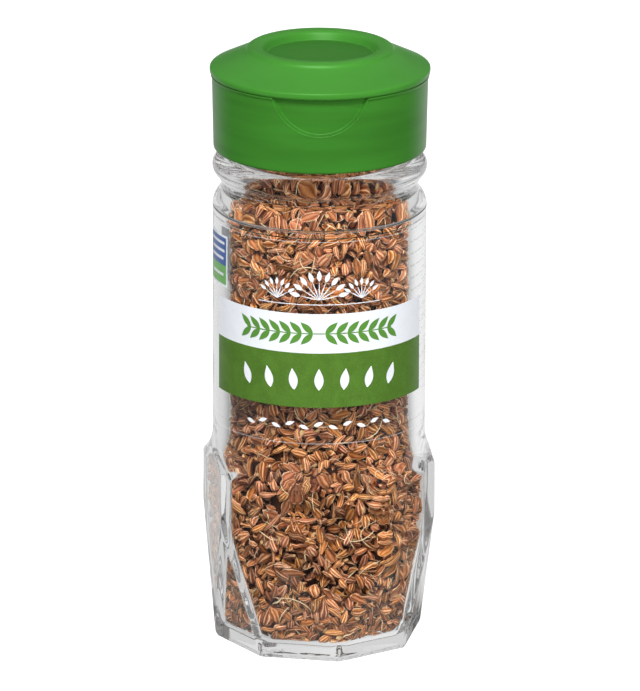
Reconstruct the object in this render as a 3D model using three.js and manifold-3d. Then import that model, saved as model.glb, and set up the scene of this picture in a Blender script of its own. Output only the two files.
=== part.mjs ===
// A clear glass spice jar, full of anise seed and shut with a green flip-top cap.
// Millimetres, +Z up, with the origin at the middle of the foot. The front faces -Y.
import * as THREE from 'three';
import { ConvexGeometry } from 'three/addons/geometries/ConvexGeometry.js';
import { mergeVertices } from 'three/addons/utils/BufferGeometryUtils.js';
import Module from 'manifold-3d';

const wasm = await Module();
wasm.setup();

// ---------------------------------------------------------------- driving dimensions

const TURN_STEPS = 48; // straight steps that make one full circle
const GAP = 0.3; // between pieces that touch
const PAST = 1; // how far a cutting shape reaches past what it cuts
const MERGE = 1e-5; // closer corners are one corner

const HEIGHT = 114.3; // the whole pack, to the crest of the cap
const BODY_R = 19.95; // the jar's round upper part
const WALL = 3.1; // of the glass
const FLOOR_Z = 2.4; // where the seeds stand

const FLATS = 8; // cut flats round the base
const FIRST_FLAT = THREE.MathUtils.degToRad(11.5 - 90); // its middle, a little right of the front
const HALF_FLAT = Math.PI / FLATS;
const CORNER_R = 22.25; // the corners between the flats
const CORNER_LOW_Z = 24.5; // below this each corner is cut away by a triangle
const FOOT_R = 19.6; // corners of the foot, one under the middle of each flat
const FOOT_Z = 0.9; // top of the foot's bevel
const FOOT_BEVEL = 0.4;
const FLARE_TOP_Z = 40.2; // where the round body starts to flare out to the corners
const FLARE_RADIUS = 8; // of the hollow curve between them
const FLARE_PAST = 0.1; // how far the turned form reaches past the corners, which the flats then cut

const SHOULDER_Z = 83.6; // top of the straight body
const SHOULDER_CURVE = [[0, 0], [0.12, 1.4], [0.75, 2.6]]; // how far in and up it rounds over
const GROOVE = { r: 18.25, z: 87.9, in: 0.15, under: 0.7, out: 0.3, over: 0.9 }; // the waist
const BEAD = { r: 20, z: 91.6, half: 2.1, from: -55, to: 75 }; // the ring of glass under the cap
const NECK_R = 17.5;
const NECK_CHAMFER = 0.5;
const NECK_BORE_R = 14;
const NECK_TOP_Z = 107.3;
const INNER_SHOULDER = [[0, -1.8], [0.5, 0.4]]; // in from the wall, up from SHOULDER_Z
const INNER_NECK = [[0.4, -1.4], [0, 0.6]]; // out from the bore, up from the groove

const SEED_TOP_Z = 98; // the level of the seeds, hidden by the cap
const SEED = { length: 4.6, width: 2.1, thick: 1.7 };
const SEED_COUNT = 115; // those that show most against the glass
const SEED_SIDES = 5;
const SEED_RINGS = 4;
const SEED_SLIM = 0.28; // how much narrower the pointed end is
const SEED_SPREAD = { size: [0.85, 1.2], bend: 0.3, turn: 0.3, tilt: 0.35, back: 0.15 };
const CORE_INSET = 1.15; // the core lies this far behind the glass
const CORE_BUMP = 0.45;
const CORE_STEPS = { round: 20, up: 18 };

const FILM = { gap: 0.12, thick: 0.12, low: 43, high: 82, reach: 150 }; // reach in degrees
const BAND = { low: 50.1, middle: 60.6, high: 68.2, reach: 68.5 };
const PRINT_GAP = 0.15; // round the two coloured bands

const SKIRT = { lowR: 19.8, topR: 20.1, low: 94.85, top: 109, wall: 1.8, bevel: 0.4, deck: 1.4 };
const NOTCH = { r: 9.1, z: 111.2, depth: 1.05 }; // the thumb notch, a round cut under the rim
const LID = { r: 20.5, low: SKIRT.top + GAP, rim: 1.15, edge: 0.45, bevel: 0.15 };
const RING = [[13.9, -0.7], [13.2, -0.5], [12.3, 0], [11.6, -0.12], [10.9, -0.5]]; // radius, below HEIGHT
const RECESS = { r: 10.3, depth: 1.8 };

// ---------------------------------------------------------------- solids and geometries

const point = (r, z) => new THREE.Vector2(r, z);

/** Turns a closed geometry into a solid, without the flat scraps at a lathe's poles. */
function solidOf(geometry) {
  const bare = geometry.clone();
  bare.deleteAttribute('normal');
  bare.deleteAttribute('uv');
  const merged = mergeVertices(bare, MERGE);
  const corners = merged.index.array;
  const kept = [];
  for (let i = 0; i < corners.length; i += 3) {
    const [a, b, c] = corners.slice(i, i + 3);
    if (a !== b && b !== c && c !== a) kept.push(a, b, c);
  }
  const mesh = new wasm.Mesh({
    numProp: 3,
    vertProperties: new Float32Array(merged.attributes.position.array),
    triVerts: new Uint32Array(kept),
  });
  mesh.merge();
  return new wasm.Manifold(mesh);
}

/** Turns a solid back into a geometry. */
function geometryOf(solid) {
  const mesh = solid.getMesh();
  const geometry = new THREE.BufferGeometry();
  geometry.setAttribute('position', new THREE.BufferAttribute(mesh.vertProperties, 3));
  geometry.setIndex(new THREE.BufferAttribute(mesh.triVerts, 1));
  geometry.computeVertexNormals();
  return geometry;
}

/** Turns a profile of (radius, height) about the Z axis. */
function turned(profile) {
  return new THREE.LatheGeometry(profile, TURN_STEPS).rotateX(Math.PI / 2);
}

/** Points on a round arc in a profile, angles in degrees from the outward direction. */
function arc(r, z, radius, from, to, steps) {
  const points = [];
  for (let i = 0; i <= steps; i += 1) {
    const angle = THREE.MathUtils.degToRad(from + ((to - from) * i) / steps);
    points.push(point(r + radius * Math.cos(angle), z + radius * Math.sin(angle)));
  }
  return points;
}

/** A named mesh with its own finish. */
function piece(name, geometry, colour, roughness, extra = {}) {
  const material = new THREE.MeshStandardMaterial({ color: colour, roughness, metalness: 0, ...extra });
  const mesh = new THREE.Mesh(geometry, material);
  mesh.name = name;
  return mesh;
}

/** A thin shell round the jar's front, between two angles either side of it and two heights. */
function frontShell(inner, thick, reach, low, high) {
  const half = THREE.MathUtils.degToRad(reach);
  const front = -Math.PI / 2;
  const shape = new THREE.Shape();
  shape.absarc(0, 0, inner + thick, front - half, front + half, false);
  shape.absarc(0, 0, inner, front + half, front - half, true);
  const curveSegments = Math.round((reach / 180) * TURN_STEPS);
  const settings = { depth: high - low, bevelEnabled: false, curveSegments };
  return new THREE.ExtrudeGeometry(shape, settings).translate(0, 0, low);
}

// ---------------------------------------------------------------- the jar's form

/** The facetted form of the base, moved inwards by inset and standing on bottomZ. */
function facettedBlock(inset, bottomZ) {
  const flatR = CORNER_R * Math.cos(HALF_FLAT);
  const rise = CORNER_LOW_Z - FOOT_Z;
  const flatLean = (flatR - FOOT_R) / rise;
  const cutLean = (CORNER_R - FOOT_R * Math.cos(HALF_FLAT)) / rise;
  const cornerR = (flatR - inset) / Math.cos(HALF_FLAT);
  const cutInset = inset * Math.hypot(1, cutLean);
  const cornerLowZ = CORNER_LOW_Z - (CORNER_R - cutInset - cornerR) / cutLean;
  const footZ = Math.max(FOOT_Z, bottomZ);
  const footR = FOOT_R + (footZ - FOOT_Z) * flatLean - inset * Math.hypot(1, flatLean);
  const levels = [
    { r: cornerR, z: NECK_TOP_Z + PAST, turn: HALF_FLAT },
    { r: cornerR, z: cornerLowZ, turn: HALF_FLAT },
    { r: footR, z: footZ, turn: 0 },
  ];
  if (bottomZ < FOOT_Z) levels.push({ r: footR - FOOT_BEVEL, z: bottomZ, turn: 0 });
  const corners = [];
  for (const { r, z, turn } of levels) {
    for (let i = 0; i < FLATS; i += 1) {
      const angle = FIRST_FLAT + turn + i * 2 * HALF_FLAT;
      corners.push(new THREE.Vector3(r * Math.cos(angle), r * Math.sin(angle), z));
    }
  }
  return solidOf(new ConvexGeometry(corners));
}

/** The hollow curve from the corners' tops up to the round body, moved inwards by inset. */
function flare(inset, wideR) {
  const centreR = BODY_R + FLARE_RADIUS;
  const radius = FLARE_RADIUS + inset;
  const drop = Math.sqrt(radius ** 2 - (centreR - wideR) ** 2);
  const low = 180 + THREE.MathUtils.radToDeg(Math.asin(drop / radius));
  return arc(centreR, FLARE_TOP_Z, radius, low, 180, 4);
}

/** The outside of the glass: a round body with shoulder, waist, bead and neck, cut by the flats. */
function jarOutside() {
  const wide = CORNER_R + FLARE_PAST;
  const profile = [
    point(0, 0),
    point(wide, 0),
    ...flare(0, wide),
    ...SHOULDER_CURVE.map(([inwards, up]) => point(BODY_R - inwards, SHOULDER_Z + up)),
    point(GROOVE.r + GROOVE.in, GROOVE.z - GROOVE.under),
    point(GROOVE.r, GROOVE.z),
    point(GROOVE.r + GROOVE.out, GROOVE.z + GROOVE.over),
    ...arc(BEAD.r - BEAD.half, BEAD.z, BEAD.half, BEAD.from, BEAD.to, 5),
    point(NECK_R, BEAD.z + BEAD.half),
    point(NECK_R, NECK_TOP_Z - NECK_CHAMFER),
    point(NECK_R - NECK_CHAMFER, NECK_TOP_Z),
    point(0, NECK_TOP_Z),
  ];
  return solidOf(turned(profile)).intersect(facettedBlock(0, 0));
}

/** The space in the glass, up through the open neck. */
function jarInside() {
  const wide = CORNER_R - WALL / Math.cos(HALF_FLAT) + FLARE_PAST;
  const profile = [
    point(0, FLOOR_Z),
    point(wide, FLOOR_Z),
    ...flare(WALL, wide),
    ...INNER_SHOULDER.map(([inwards, up]) => point(BODY_R - WALL - inwards, SHOULDER_Z + up)),
    ...INNER_NECK.map(([out, up]) => point(NECK_BORE_R + out, GROOVE.z + up)),
    point(NECK_BORE_R, NECK_TOP_Z + PAST),
    point(0, NECK_TOP_Z + PAST),
  ];
  return solidOf(turned(profile)).intersect(facettedBlock(WALL, FLOOR_Z));
}

// ---------------------------------------------------------------- the seeds

/** A repeatable stream of numbers from 0 to 1. */
function stream(seed) {
  let state = seed;
  return () => {
    state = (Math.imul(state, 1664525) + 1013904223) >>> 0;
    return state / 2 ** 32;
  };
}

/** How far the jar's inside reaches from the axis at an angle and a height. */
function insideRadius(angle, z) {
  const flatR = CORNER_R * Math.cos(HALF_FLAT) - WALL;
  const rise = CORNER_LOW_Z - FOOT_Z;
  const below = Math.max(0, CORNER_LOW_Z - z);
  const toFlat = THREE.MathUtils.euclideanModulo(angle - FIRST_FLAT + HALF_FLAT, 2 * HALF_FLAT) - HALF_FLAT;
  const toCut = HALF_FLAT - Math.abs(toFlat);
  const flat = (flatR - (below * (flatR + WALL - FOOT_R)) / rise) / Math.cos(toFlat);
  const cutLean = (CORNER_R - FOOT_R * Math.cos(HALF_FLAT)) / rise;
  const cut = (CORNER_R - WALL - (CORNER_LOW_Z - z) * cutLean) / Math.cos(toCut);
  const flared = FLARE_TOP_Z - z;
  const wide = FLARE_RADIUS + WALL;
  const curve = BODY_R + FLARE_RADIUS - Math.sqrt(Math.max(0, wide ** 2 - Math.max(0, flared) ** 2));
  const narrowing = THREE.MathUtils.smoothstep(
    z,
    SHOULDER_Z + INNER_SHOULDER[0][1],
    GROOVE.z + INNER_NECK[1][1],
  );
  const neck = THREE.MathUtils.lerp(BODY_R - WALL, NECK_BORE_R, narrowing);
  return Math.min(flat, z < CORNER_LOW_Z ? cut : Infinity, curve, neck);
}

/** One seed: a ridge-backed half fruit, blunt at one end, pointed at the other and a little bent. */
function seedGeometry(size, bend) {
  const seed = new THREE.SphereGeometry(1, SEED_SIDES, SEED_RINGS).rotateZ(-Math.PI / 2);
  const places = seed.attributes.position;
  for (let i = 0; i < places.count; i += 1) {
    const along = places.getX(i);
    const slim = 1 - SEED_SLIM * along;
    const lift = bend * (1 - along * along);
    places.setXYZ(
      i,
      (along * SEED.length * size) / 2,
      (places.getY(i) * slim * SEED.width * size) / 2,
      (places.getZ(i) * slim * SEED.thick * size) / 2 + lift,
    );
  }
  return seed;
}

/** How far a placed seed reaches out past the space that is kept clear behind the glass. */
function reachPastGlass(seed) {
  const places = seed.attributes.position;
  let most = 0;
  for (let i = 0; i < places.count; i += 1) {
    const [x, y, z] = [places.getX(i), places.getY(i), places.getZ(i)];
    most = Math.max(most, Math.hypot(x, y) + GAP - insideRadius(Math.atan2(y, x), z));
  }
  return most;
}

/** The heap: a bumpy core with the seeds that show against the glass fused on to it. */
function seedHeap() {
  const next = stream(38);
  const floor = FLOOR_Z + GAP;
  const core = new THREE.CylinderGeometry(1, 1, 1, CORE_STEPS.round, CORE_STEPS.up).rotateX(Math.PI / 2);
  const places = core.attributes.position;
  for (let i = 0; i < places.count; i += 1) {
    const angle = Math.atan2(places.getY(i), places.getX(i));
    const level = places.getZ(i) + 0.5;
    const z = THREE.MathUtils.lerp(floor, SEED_TOP_Z - SEED.thick, level);
    const share = Math.hypot(places.getX(i), places.getY(i));
    const bump = CORE_BUMP * Math.sin(5 * angle + 41 * level) * Math.sin(9 * angle - 67 * level);
    const r = share * (insideRadius(angle, z) - CORE_INSET + bump);
    places.setXYZ(i, r * Math.cos(angle), r * Math.sin(angle), z);
  }
  const parts = [solidOf(core)];
  const golden = Math.PI * (3 - Math.sqrt(5));
  for (let i = 0; i < SEED_COUNT; i += 1) {
    const z = THREE.MathUtils.lerp(floor + SEED.length / 2, SEED_TOP_Z, (i + next()) / SEED_COUNT);
    const angle = i * golden + SEED_SPREAD.turn * next();
    const size = THREE.MathUtils.lerp(...SEED_SPREAD.size, next());
    const seed = seedGeometry(size, SEED_SPREAD.bend * next());
    const spin = Math.PI * 2 * next();
    const tilt = SEED_SPREAD.tilt * (next() - 0.5);
    seed.rotateZ(spin).rotateY(Math.PI / 2 + tilt).rotateZ(angle);
    const r = insideRadius(angle, z) - GAP;
    seed.translate(r * Math.cos(angle), r * Math.sin(angle), z);
    const back = reachPastGlass(seed) + SEED_SPREAD.back * next();
    seed.translate(-back * Math.cos(angle), -back * Math.sin(angle), 0);
    parts.push(solidOf(seed));
  }
  const heap = wasm.Manifold.union(parts);
  return heap.decompose().reduce((largest, body) => (body.volume() > largest.volume() ? body : largest));
}

// ---------------------------------------------------------------- the label

/** The clear film, with a window where its two coloured bands are. */
function filmSolid() {
  const inner = BODY_R + FILM.gap;
  const film = solidOf(frontShell(inner, FILM.thick, FILM.reach, FILM.low, FILM.high));
  const margin = THREE.MathUtils.radToDeg(PRINT_GAP / inner);
  const [low, high] = [BAND.low - PRINT_GAP, BAND.high + PRINT_GAP];
  const window = frontShell(inner - PAST, 2 * PAST, BAND.reach + margin, low, high);
  return film.subtract(solidOf(window));
}

/** One coloured band of the label. */
function band(low, high) {
  return frontShell(BODY_R + FILM.gap, FILM.thick, BAND.reach, low, high);
}

// ---------------------------------------------------------------- the cap

/** The cap's skirt with its plain deck and the thumb notch in front. */
function capSkirt() {
  const boreR = SKIRT.lowR - SKIRT.wall;
  const profile = [
    point(0, SKIRT.top - SKIRT.deck),
    point(boreR, SKIRT.top - SKIRT.deck),
    point(boreR, SKIRT.low),
    point(SKIRT.lowR - SKIRT.bevel, SKIRT.low),
    point(SKIRT.lowR, SKIRT.low + SKIRT.bevel),
    point(SKIRT.topR, SKIRT.top),
    point(0, SKIRT.top),
  ];
  const cutter = new THREE.CylinderGeometry(NOTCH.r, NOTCH.r, 2 * NOTCH.r, TURN_STEPS);
  cutter.translate(0, -SKIRT.topR, NOTCH.z);
  const top = SKIRT.top + PAST;
  const [topR, lowR] = [SKIRT.topR - NOTCH.depth, SKIRT.lowR - NOTCH.depth];
  const backed = new THREE.CylinderGeometry(topR, lowR, top - SKIRT.low, TURN_STEPS);
  backed.rotateX(Math.PI / 2).translate(0, 0, (SKIRT.low + top) / 2);
  const notch = solidOf(cutter).subtract(solidOf(backed));
  return solidOf(turned(profile)).subtract(notch);
}

/** The flip lid: a rim, a sloping deck, and a raised ring round a shallow flat recess. */
function capLid() {
  const rimTop = LID.low + LID.rim;
  const profile = [
    point(0, LID.low),
    point(LID.r - LID.bevel, LID.low),
    point(LID.r, LID.low + LID.bevel),
    ...arc(LID.r - LID.edge, rimTop - LID.edge, LID.edge, 0, 70, 3),
    ...RING.map(([r, drop]) => point(r, HEIGHT + drop)),
    point(RECESS.r, HEIGHT - RECESS.depth),
    point(0, HEIGHT - RECESS.depth),
  ];
  return turned(profile);
}

// ---------------------------------------------------------------- the pack

const jar = jarOutside().subtract(jarInside());
const clear = { transparent: true, opacity: 0.35 };

const pack = new THREE.Group();
pack.add(
  piece('glass_jar', geometryOf(jar), 0xe9eeee, 0.03, clear),
  piece('seed_heap', geometryOf(seedHeap()), 0x9a6238, 0.7),
  piece('label_film', geometryOf(filmSolid()), 0xf2f4f4, 0.15, clear),
  piece('label_white_band', band(BAND.middle + PRINT_GAP, BAND.high), 0xe3e8ef, 0.35),
  piece('label_green_band', band(BAND.low, BAND.middle), 0x55873a, 0.4),
  piece('cap_skirt', geometryOf(capSkirt()), 0x378a30, 0.38),
  piece('cap_lid', capLid(), 0x4fa043, 0.38),
);

export default pack;
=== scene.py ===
"""Dresses a packed spice jar: real glass, real anise seed, a printed film label and a moulded cap.

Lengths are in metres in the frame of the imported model: +Z is up, the front faces -Y, and the jar stands
on z = 0.
"""

from __future__ import annotations

import logging
import math
from dataclasses import dataclass, field
from enum import Enum

import bpy
import numpy as np
from mathutils import Matrix

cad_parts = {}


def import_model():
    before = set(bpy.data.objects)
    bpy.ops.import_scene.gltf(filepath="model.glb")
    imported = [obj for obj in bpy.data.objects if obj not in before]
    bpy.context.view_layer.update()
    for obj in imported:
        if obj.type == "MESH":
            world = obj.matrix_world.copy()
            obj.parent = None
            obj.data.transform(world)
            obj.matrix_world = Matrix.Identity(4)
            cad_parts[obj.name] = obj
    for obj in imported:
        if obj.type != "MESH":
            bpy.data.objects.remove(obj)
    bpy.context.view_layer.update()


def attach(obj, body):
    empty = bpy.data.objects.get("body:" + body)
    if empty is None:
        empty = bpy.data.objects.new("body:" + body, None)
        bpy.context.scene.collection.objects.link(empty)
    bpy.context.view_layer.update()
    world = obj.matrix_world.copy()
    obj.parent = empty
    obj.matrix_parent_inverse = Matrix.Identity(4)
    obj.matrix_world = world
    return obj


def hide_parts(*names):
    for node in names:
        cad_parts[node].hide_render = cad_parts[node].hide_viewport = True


LOG = logging.getLogger("spice_jar")
MM = 0.001
FRONT = -math.pi / 2
BODY = "root"

Array = np.ndarray


# --------------------------------------------------------------------------- meshes


def smooth_step(x: Array, low: float, high: float) -> Array:
    """Rises from 0 at low to 1 at high along 3t^2 - 2t^3.

    Args:
        x: Where to read the step.
        low: Where it leaves 0.
        high: Where it reaches 1.

    Returns:
        The step's height at each x.
    """
    t = np.clip((x - low) / (high - low), 0.0, 1.0)
    return t * t * (3.0 - 2.0 * t)


def soft_least(values: Array, softness: float) -> Array:
    """The least value along the first axis, with the creases between them rounded off.

    The formula is -k log(sum(exp(-v / k))), taken from the least value so that it stays exact.

    Args:
        values: Stacked fields.
        softness: The k of the formula, in the fields' own unit.

    Returns:
        One field.
    """
    least = values.min(axis=0)
    return least - softness * np.log(np.exp(-(values - least) / softness).sum(axis=0))


def grid_triangles(rows: int, columns: int, closed: bool) -> Array:
    """Two triangles for each cell of a grid whose vertices are stored row after row.

    Args:
        rows: Rows of vertices.
        columns: Vertices in a row.
        closed: True if the last column joins the first.

    Returns:
        Vertex numbers, three for each triangle, facing out when rows climb and columns turn left.
    """
    across = columns if closed else columns - 1
    row, column = np.meshgrid(np.arange(rows - 1), np.arange(across), indexing="ij")
    beside = (column + 1) % columns
    a, b = row * columns + column, row * columns + beside
    c, d = a + columns, b + columns
    return np.stack([a, b, d, a, d, c], axis=-1).reshape(-1, 3)


def closed_round(rings: Array) -> tuple[Array, Array]:
    """Closes a stack of rings whose first and last ring have shrunk to a point.

    Args:
        rings: Points, shaped (rows, columns, 3).

    Returns:
        The vertices, with one for each pole, and the triangles.
    """
    rows, columns = rings.shape[:2]
    inner = grid_triangles(rows - 2, columns, True) + 1
    last = 1 + (rows - 2) * columns
    here = np.arange(columns)
    beside = (here + 1) % columns
    low = np.stack([np.zeros(columns, int), 1 + beside, 1 + here], axis=-1)
    top = last - columns
    high = np.stack([top + here, top + beside, np.full(columns, last)], axis=-1)
    vertices = np.concatenate([rings[:1, 0], rings[1:-1].reshape(-1, 3), rings[-1:, 0]])
    return vertices, np.concatenate([low, inner, high])


def about_axis(radius: Array, angle: Array, height: Array) -> Array:
    """Points at given radii, angles about the jar's axis and heights."""
    return np.stack(np.broadcast_arrays(radius * np.cos(angle), radius * np.sin(angle), height), axis=-1)


def make_piece(name: str, vertices: Array, triangles: Array, smooth: bool = True) -> bpy.types.Object:
    """Puts a surface into the scene as one piece, its place in its mesh.

    Args:
        name: The piece's name.
        vertices: Points, shaped (count, 3).
        triangles: Vertex numbers, shaped (count, 3).
        smooth: True for rounded shading.

    Returns:
        The new object.
    """
    mesh = bpy.data.meshes.new(name)
    mesh.from_pydata(vertices.tolist(), [], triangles.tolist())
    mesh.polygons.foreach_set("use_smooth", np.full(len(triangles), smooth))
    mesh.update()
    piece = bpy.data.objects.new(name, mesh)
    bpy.context.scene.collection.objects.link(piece)
    return piece


def set_uv(piece: bpy.types.Object, uv: Array) -> None:
    """Gives a piece a UV map from one pair of numbers for each vertex.

    Args:
        piece: The piece.
        uv: Pairs, shaped (vertices, 2).
    """
    layer = piece.data.uv_layers.new(name="Print")
    corners = np.zeros(len(piece.data.loops), int)
    piece.data.loops.foreach_get("vertex_index", corners)
    layer.data.foreach_set("uv", uv[corners].astype(np.float32).ravel())


def set_attribute(piece: bpy.types.Object, name: str, values: Array) -> None:
    """Gives a piece one number for each vertex, which its material reads by name."""
    attribute = piece.data.attributes.new(name, "FLOAT", "POINT")
    attribute.data.foreach_set("value", values.astype(np.float32).ravel())


def dress(piece: bpy.types.Object, material: bpy.types.Material, slot: str, *nodes: str) -> bpy.types.Object:
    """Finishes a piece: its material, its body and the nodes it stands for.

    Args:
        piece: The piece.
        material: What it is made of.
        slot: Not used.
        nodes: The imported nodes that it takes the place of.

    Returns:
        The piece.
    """
    piece.data.materials.append(material)
    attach(piece, BODY)
    if nodes:
        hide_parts(*nodes)
    LOG.info("%s: %d faces", piece.name, len(piece.data.polygons))
    return piece


# --------------------------------------------------------------------------- material nodes


class NodeSheet:
    """A short way to lay out a material's or a group's nodes."""

    def __init__(self, tree: bpy.types.NodeTree) -> None:
        """Starts on an empty node tree."""
        self.tree = tree
        tree.nodes.clear()

    def add(self, kind: str, **settings: object) -> bpy.types.Node:
        """Adds a node and sets its properties and sockets.

        Args:
            kind: The node's type name.
            settings: Properties by name, or sockets by name with spaces written as underscores.

        Returns:
            The node.
        """
        node = self.tree.nodes.new(kind)
        for name, value in settings.items():
            if hasattr(node, name):
                setattr(node, name, value)
                continue
            socket = node.inputs[int(name[1:])] if name[0] == "_" else node.inputs[name.replace("_", " ")]
            if isinstance(value, bpy.types.NodeSocket):
                self.tree.links.new(value, socket)
            else:
                socket.default_value = value
        return node

    def math(self, operation: str, *values: object) -> bpy.types.NodeSocket:
        """One step of arithmetic on sockets or numbers."""
        settings = {f"_{i}": value for i, value in enumerate(values)}
        return self.add("ShaderNodeMath", operation=operation, **settings).outputs[0]

    def ramp(self, source: bpy.types.NodeSocket, low: float, high: float) -> bpy.types.NodeSocket:
        """A smooth rise from 0 to 1.

        Args:
            source: What is read.
            low: Where the rise leaves 0.
            high: Where it reaches 1.

        Returns:
            The rise, as a value.
        """
        node = self.add("ShaderNodeMapRange", interpolation_type="SMOOTHSTEP", Value=source)
        node.inputs["From Min"].default_value = low
        node.inputs["From Max"].default_value = high
        return node.outputs["Result"]

    def blend(self, share: object, first: object, second: object) -> bpy.types.NodeSocket:
        """A colour between two colours.

        Args:
            share: A number or socket, 0 for the first colour and 1 for the second.
            first: Three numbers, or a colour socket.
            second: Three numbers, or a colour socket.

        Returns:
            The colour.
        """
        node = self.add("ShaderNodeMix", data_type="RGBA")
        for socket, value in ((0, share), (6, first), (7, second)):
            if isinstance(value, bpy.types.NodeSocket):
                self.tree.links.new(value, node.inputs[socket])
            else:
                node.inputs[socket].default_value = value if socket == 0 else (*value, 1.0)
        return node.outputs[2]

    def bump(self, height: bpy.types.NodeSocket, distance: float) -> bpy.types.NodeSocket:
        """A normal that follows a height, whose whole range is the distance in metres."""
        return self.add("ShaderNodeBump", Height=height, Distance=distance, Strength=1.0).outputs["Normal"]


def new_material(name: str) -> tuple[bpy.types.Material, NodeSheet]:
    """An empty material and the sheet to lay out its nodes on."""
    material = bpy.data.materials.new(name)
    material.use_nodes = True
    return material, NodeSheet(material.node_tree)


class SurfaceGrain:
    """A node group of fine mottling, shared by the cap, the print, the seeds and the floor."""

    name = "surface_grain"

    @classmethod
    def tree(cls) -> bpy.types.NodeTree:
        """The group, built once: Coarse and Fine are scales; Tone and Height come out from 0 to 1."""
        found = bpy.data.node_groups.get(cls.name)
        if found:
            return found
        tree = bpy.data.node_groups.new(cls.name, "ShaderNodeTree")
        for label, value in (("Coarse", 60.0), ("Fine", 900.0), ("Mix", 0.5)):
            socket = tree.interface.new_socket(label, in_out="INPUT", socket_type="NodeSocketFloat")
            socket.default_value = value
        for label in ("Tone", "Height"):
            tree.interface.new_socket(label, in_out="OUTPUT", socket_type="NodeSocketFloat")
        sheet = NodeSheet(tree)
        given = sheet.add("NodeGroupInput").outputs
        place = sheet.add("ShaderNodeTexCoord").outputs["Object"]
        coarse = sheet.add("ShaderNodeTexNoise", Vector=place, Scale=given["Coarse"], Detail=2.0)
        fine = sheet.add("ShaderNodeTexNoise", Vector=place, Scale=given["Fine"], Detail=4.0)
        both = sheet.add("ShaderNodeMix", _0=given["Mix"], _2=coarse.outputs["Fac"], _3=fine.outputs["Fac"])
        sheet.add("NodeGroupOutput", Tone=both.outputs[0], Height=fine.outputs["Fac"])
        return tree

    @classmethod
    def place(
        cls, sheet: NodeSheet, coarse: float, fine: float, mix: float
    ) -> bpy.types.bpy_prop_collection:
        """Puts the group into a material.

        Args:
            sheet: The material's sheet.
            coarse: Scale of the wide mottling.
            fine: Scale of the fine grain.
            mix: Share of the fine grain in Tone.

        Returns:
            The group's outputs, Tone and Height.
        """
        return sheet.add("ShaderNodeGroup", node_tree=cls.tree(), Coarse=coarse, Fine=fine, Mix=mix).outputs


@dataclass(frozen=True)
class Glass:
    """Clear soda-lime glass. Lamps shine through it, so that what is inside is lit."""

    name: str = "clear_glass"
    tint: tuple[float, float, float] = (0.970, 0.978, 0.974)
    ior: float = 1.52

    def build(self) -> bpy.types.Material:
        """The material: smooth glass that turns transparent to rays from lamps."""
        material, sheet = new_material(self.name)
        surface = sheet.add("ShaderNodeBsdfPrincipled", Roughness=0.0, IOR=self.ior)
        surface.inputs["Base Color"].default_value = (*self.tint, 1.0)
        surface.inputs["Transmission Weight"].default_value = 1.0
        open_way = sheet.add("ShaderNodeBsdfTransparent")
        open_way.inputs["Color"].default_value = (0.955, 0.96, 0.955, 1.0)
        lamp = sheet.add("ShaderNodeLightPath").outputs["Is Shadow Ray"]
        both = sheet.add("ShaderNodeMixShader", _0=lamp, _1=surface.outputs[0], _2=open_way.outputs[0])
        sheet.add("ShaderNodeOutputMaterial", Surface=both.outputs[0])
        return material


@dataclass(frozen=True)
class Moulded:
    """Satin moulded plastic with faint level flow marks; where the recess is marked it is duller, and
    painted darker there as shade.
    """

    name: str
    colour: tuple[float, float, float]
    deep: tuple[float, float, float]
    roughness: float = 0.34
    flow_scale: tuple[float, float, float] = (38.0, 38.0, 420.0)
    recess_painted_shade: float = 0.74
    recess_matte: float = 0.25

    def build(self) -> bpy.types.Material:
        """The material: its two tones drift in long level marks, over a fine satin grain."""
        material, sheet = new_material(self.name)
        grain = SurfaceGrain.place(sheet, 55.0, 2600.0, 0.15)
        place = sheet.add("ShaderNodeTexCoord").outputs["Object"]
        level = sheet.add("ShaderNodeVectorMath", operation="MULTIPLY", _0=place, _1=self.flow_scale)
        flow = sheet.add("ShaderNodeTexNoise", Vector=level.outputs[0], Scale=1.0, Detail=2.0).outputs["Fac"]
        drift = sheet.math("ADD", flow, sheet.math("MULTIPLY_ADD", grain["Tone"], 0.4, -0.2))
        tone = sheet.ramp(drift, 0.3, 0.7)
        # The recess mark: its colour darkened there as painted shade, and its roughness raised.
        recess_shade_and_matte = sheet.add("ShaderNodeAttribute", attribute_name="recess_shade_and_matte").outputs["Fac"]
        satin = sheet.math("MULTIPLY_ADD", grain["Height"], 0.10, self.roughness - 0.05)
        recess_painted_colour = tuple(self.recess_painted_shade * c for c in self.deep)
        surface = sheet.add(
            "ShaderNodeBsdfPrincipled",
            Base_Color=sheet.blend(recess_shade_and_matte, sheet.blend(tone, self.deep, self.colour), recess_painted_colour),
            Roughness=sheet.math("MULTIPLY_ADD", recess_shade_and_matte, self.recess_matte, satin),
            Normal=sheet.bump(grain["Height"], 0.004 * MM),
        )
        surface.inputs["Specular IOR Level"].default_value = 0.3
        sheet.add("ShaderNodeOutputMaterial", Surface=surface.outputs[0])
        return material


@dataclass(frozen=True)
class ClearFilm:
    """The label's clear film: almost unseen, but for its gloss and its cut edges."""

    name: str = "clear_film"
    haze: float = 0.006
    edge: float = 0.40

    def build(self) -> bpy.types.Material:
        """The material: a low alpha that rises along the cut edges, read from the film's own map."""
        material, sheet = new_material(self.name)
        place = sheet.add("ShaderNodeUVMap", uv_map="Print").outputs["UV"]
        parts = sheet.add("ShaderNodeSeparateXYZ", Vector=place).outputs
        near = sheet.math("ABSOLUTE", sheet.math("SUBTRACT", parts["Y"], 0.5))
        cut = sheet.ramp(near, 0.496, 0.499)
        alpha = sheet.math("MULTIPLY_ADD", cut, self.edge, self.haze)
        surface = sheet.add("ShaderNodeBsdfPrincipled", Roughness=0.12, Alpha=alpha)
        surface.inputs["Base Color"].default_value = (0.92, 0.94, 0.96, 1.0)
        sheet.add("ShaderNodeOutputMaterial", Surface=surface.outputs[0])
        return material


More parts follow.
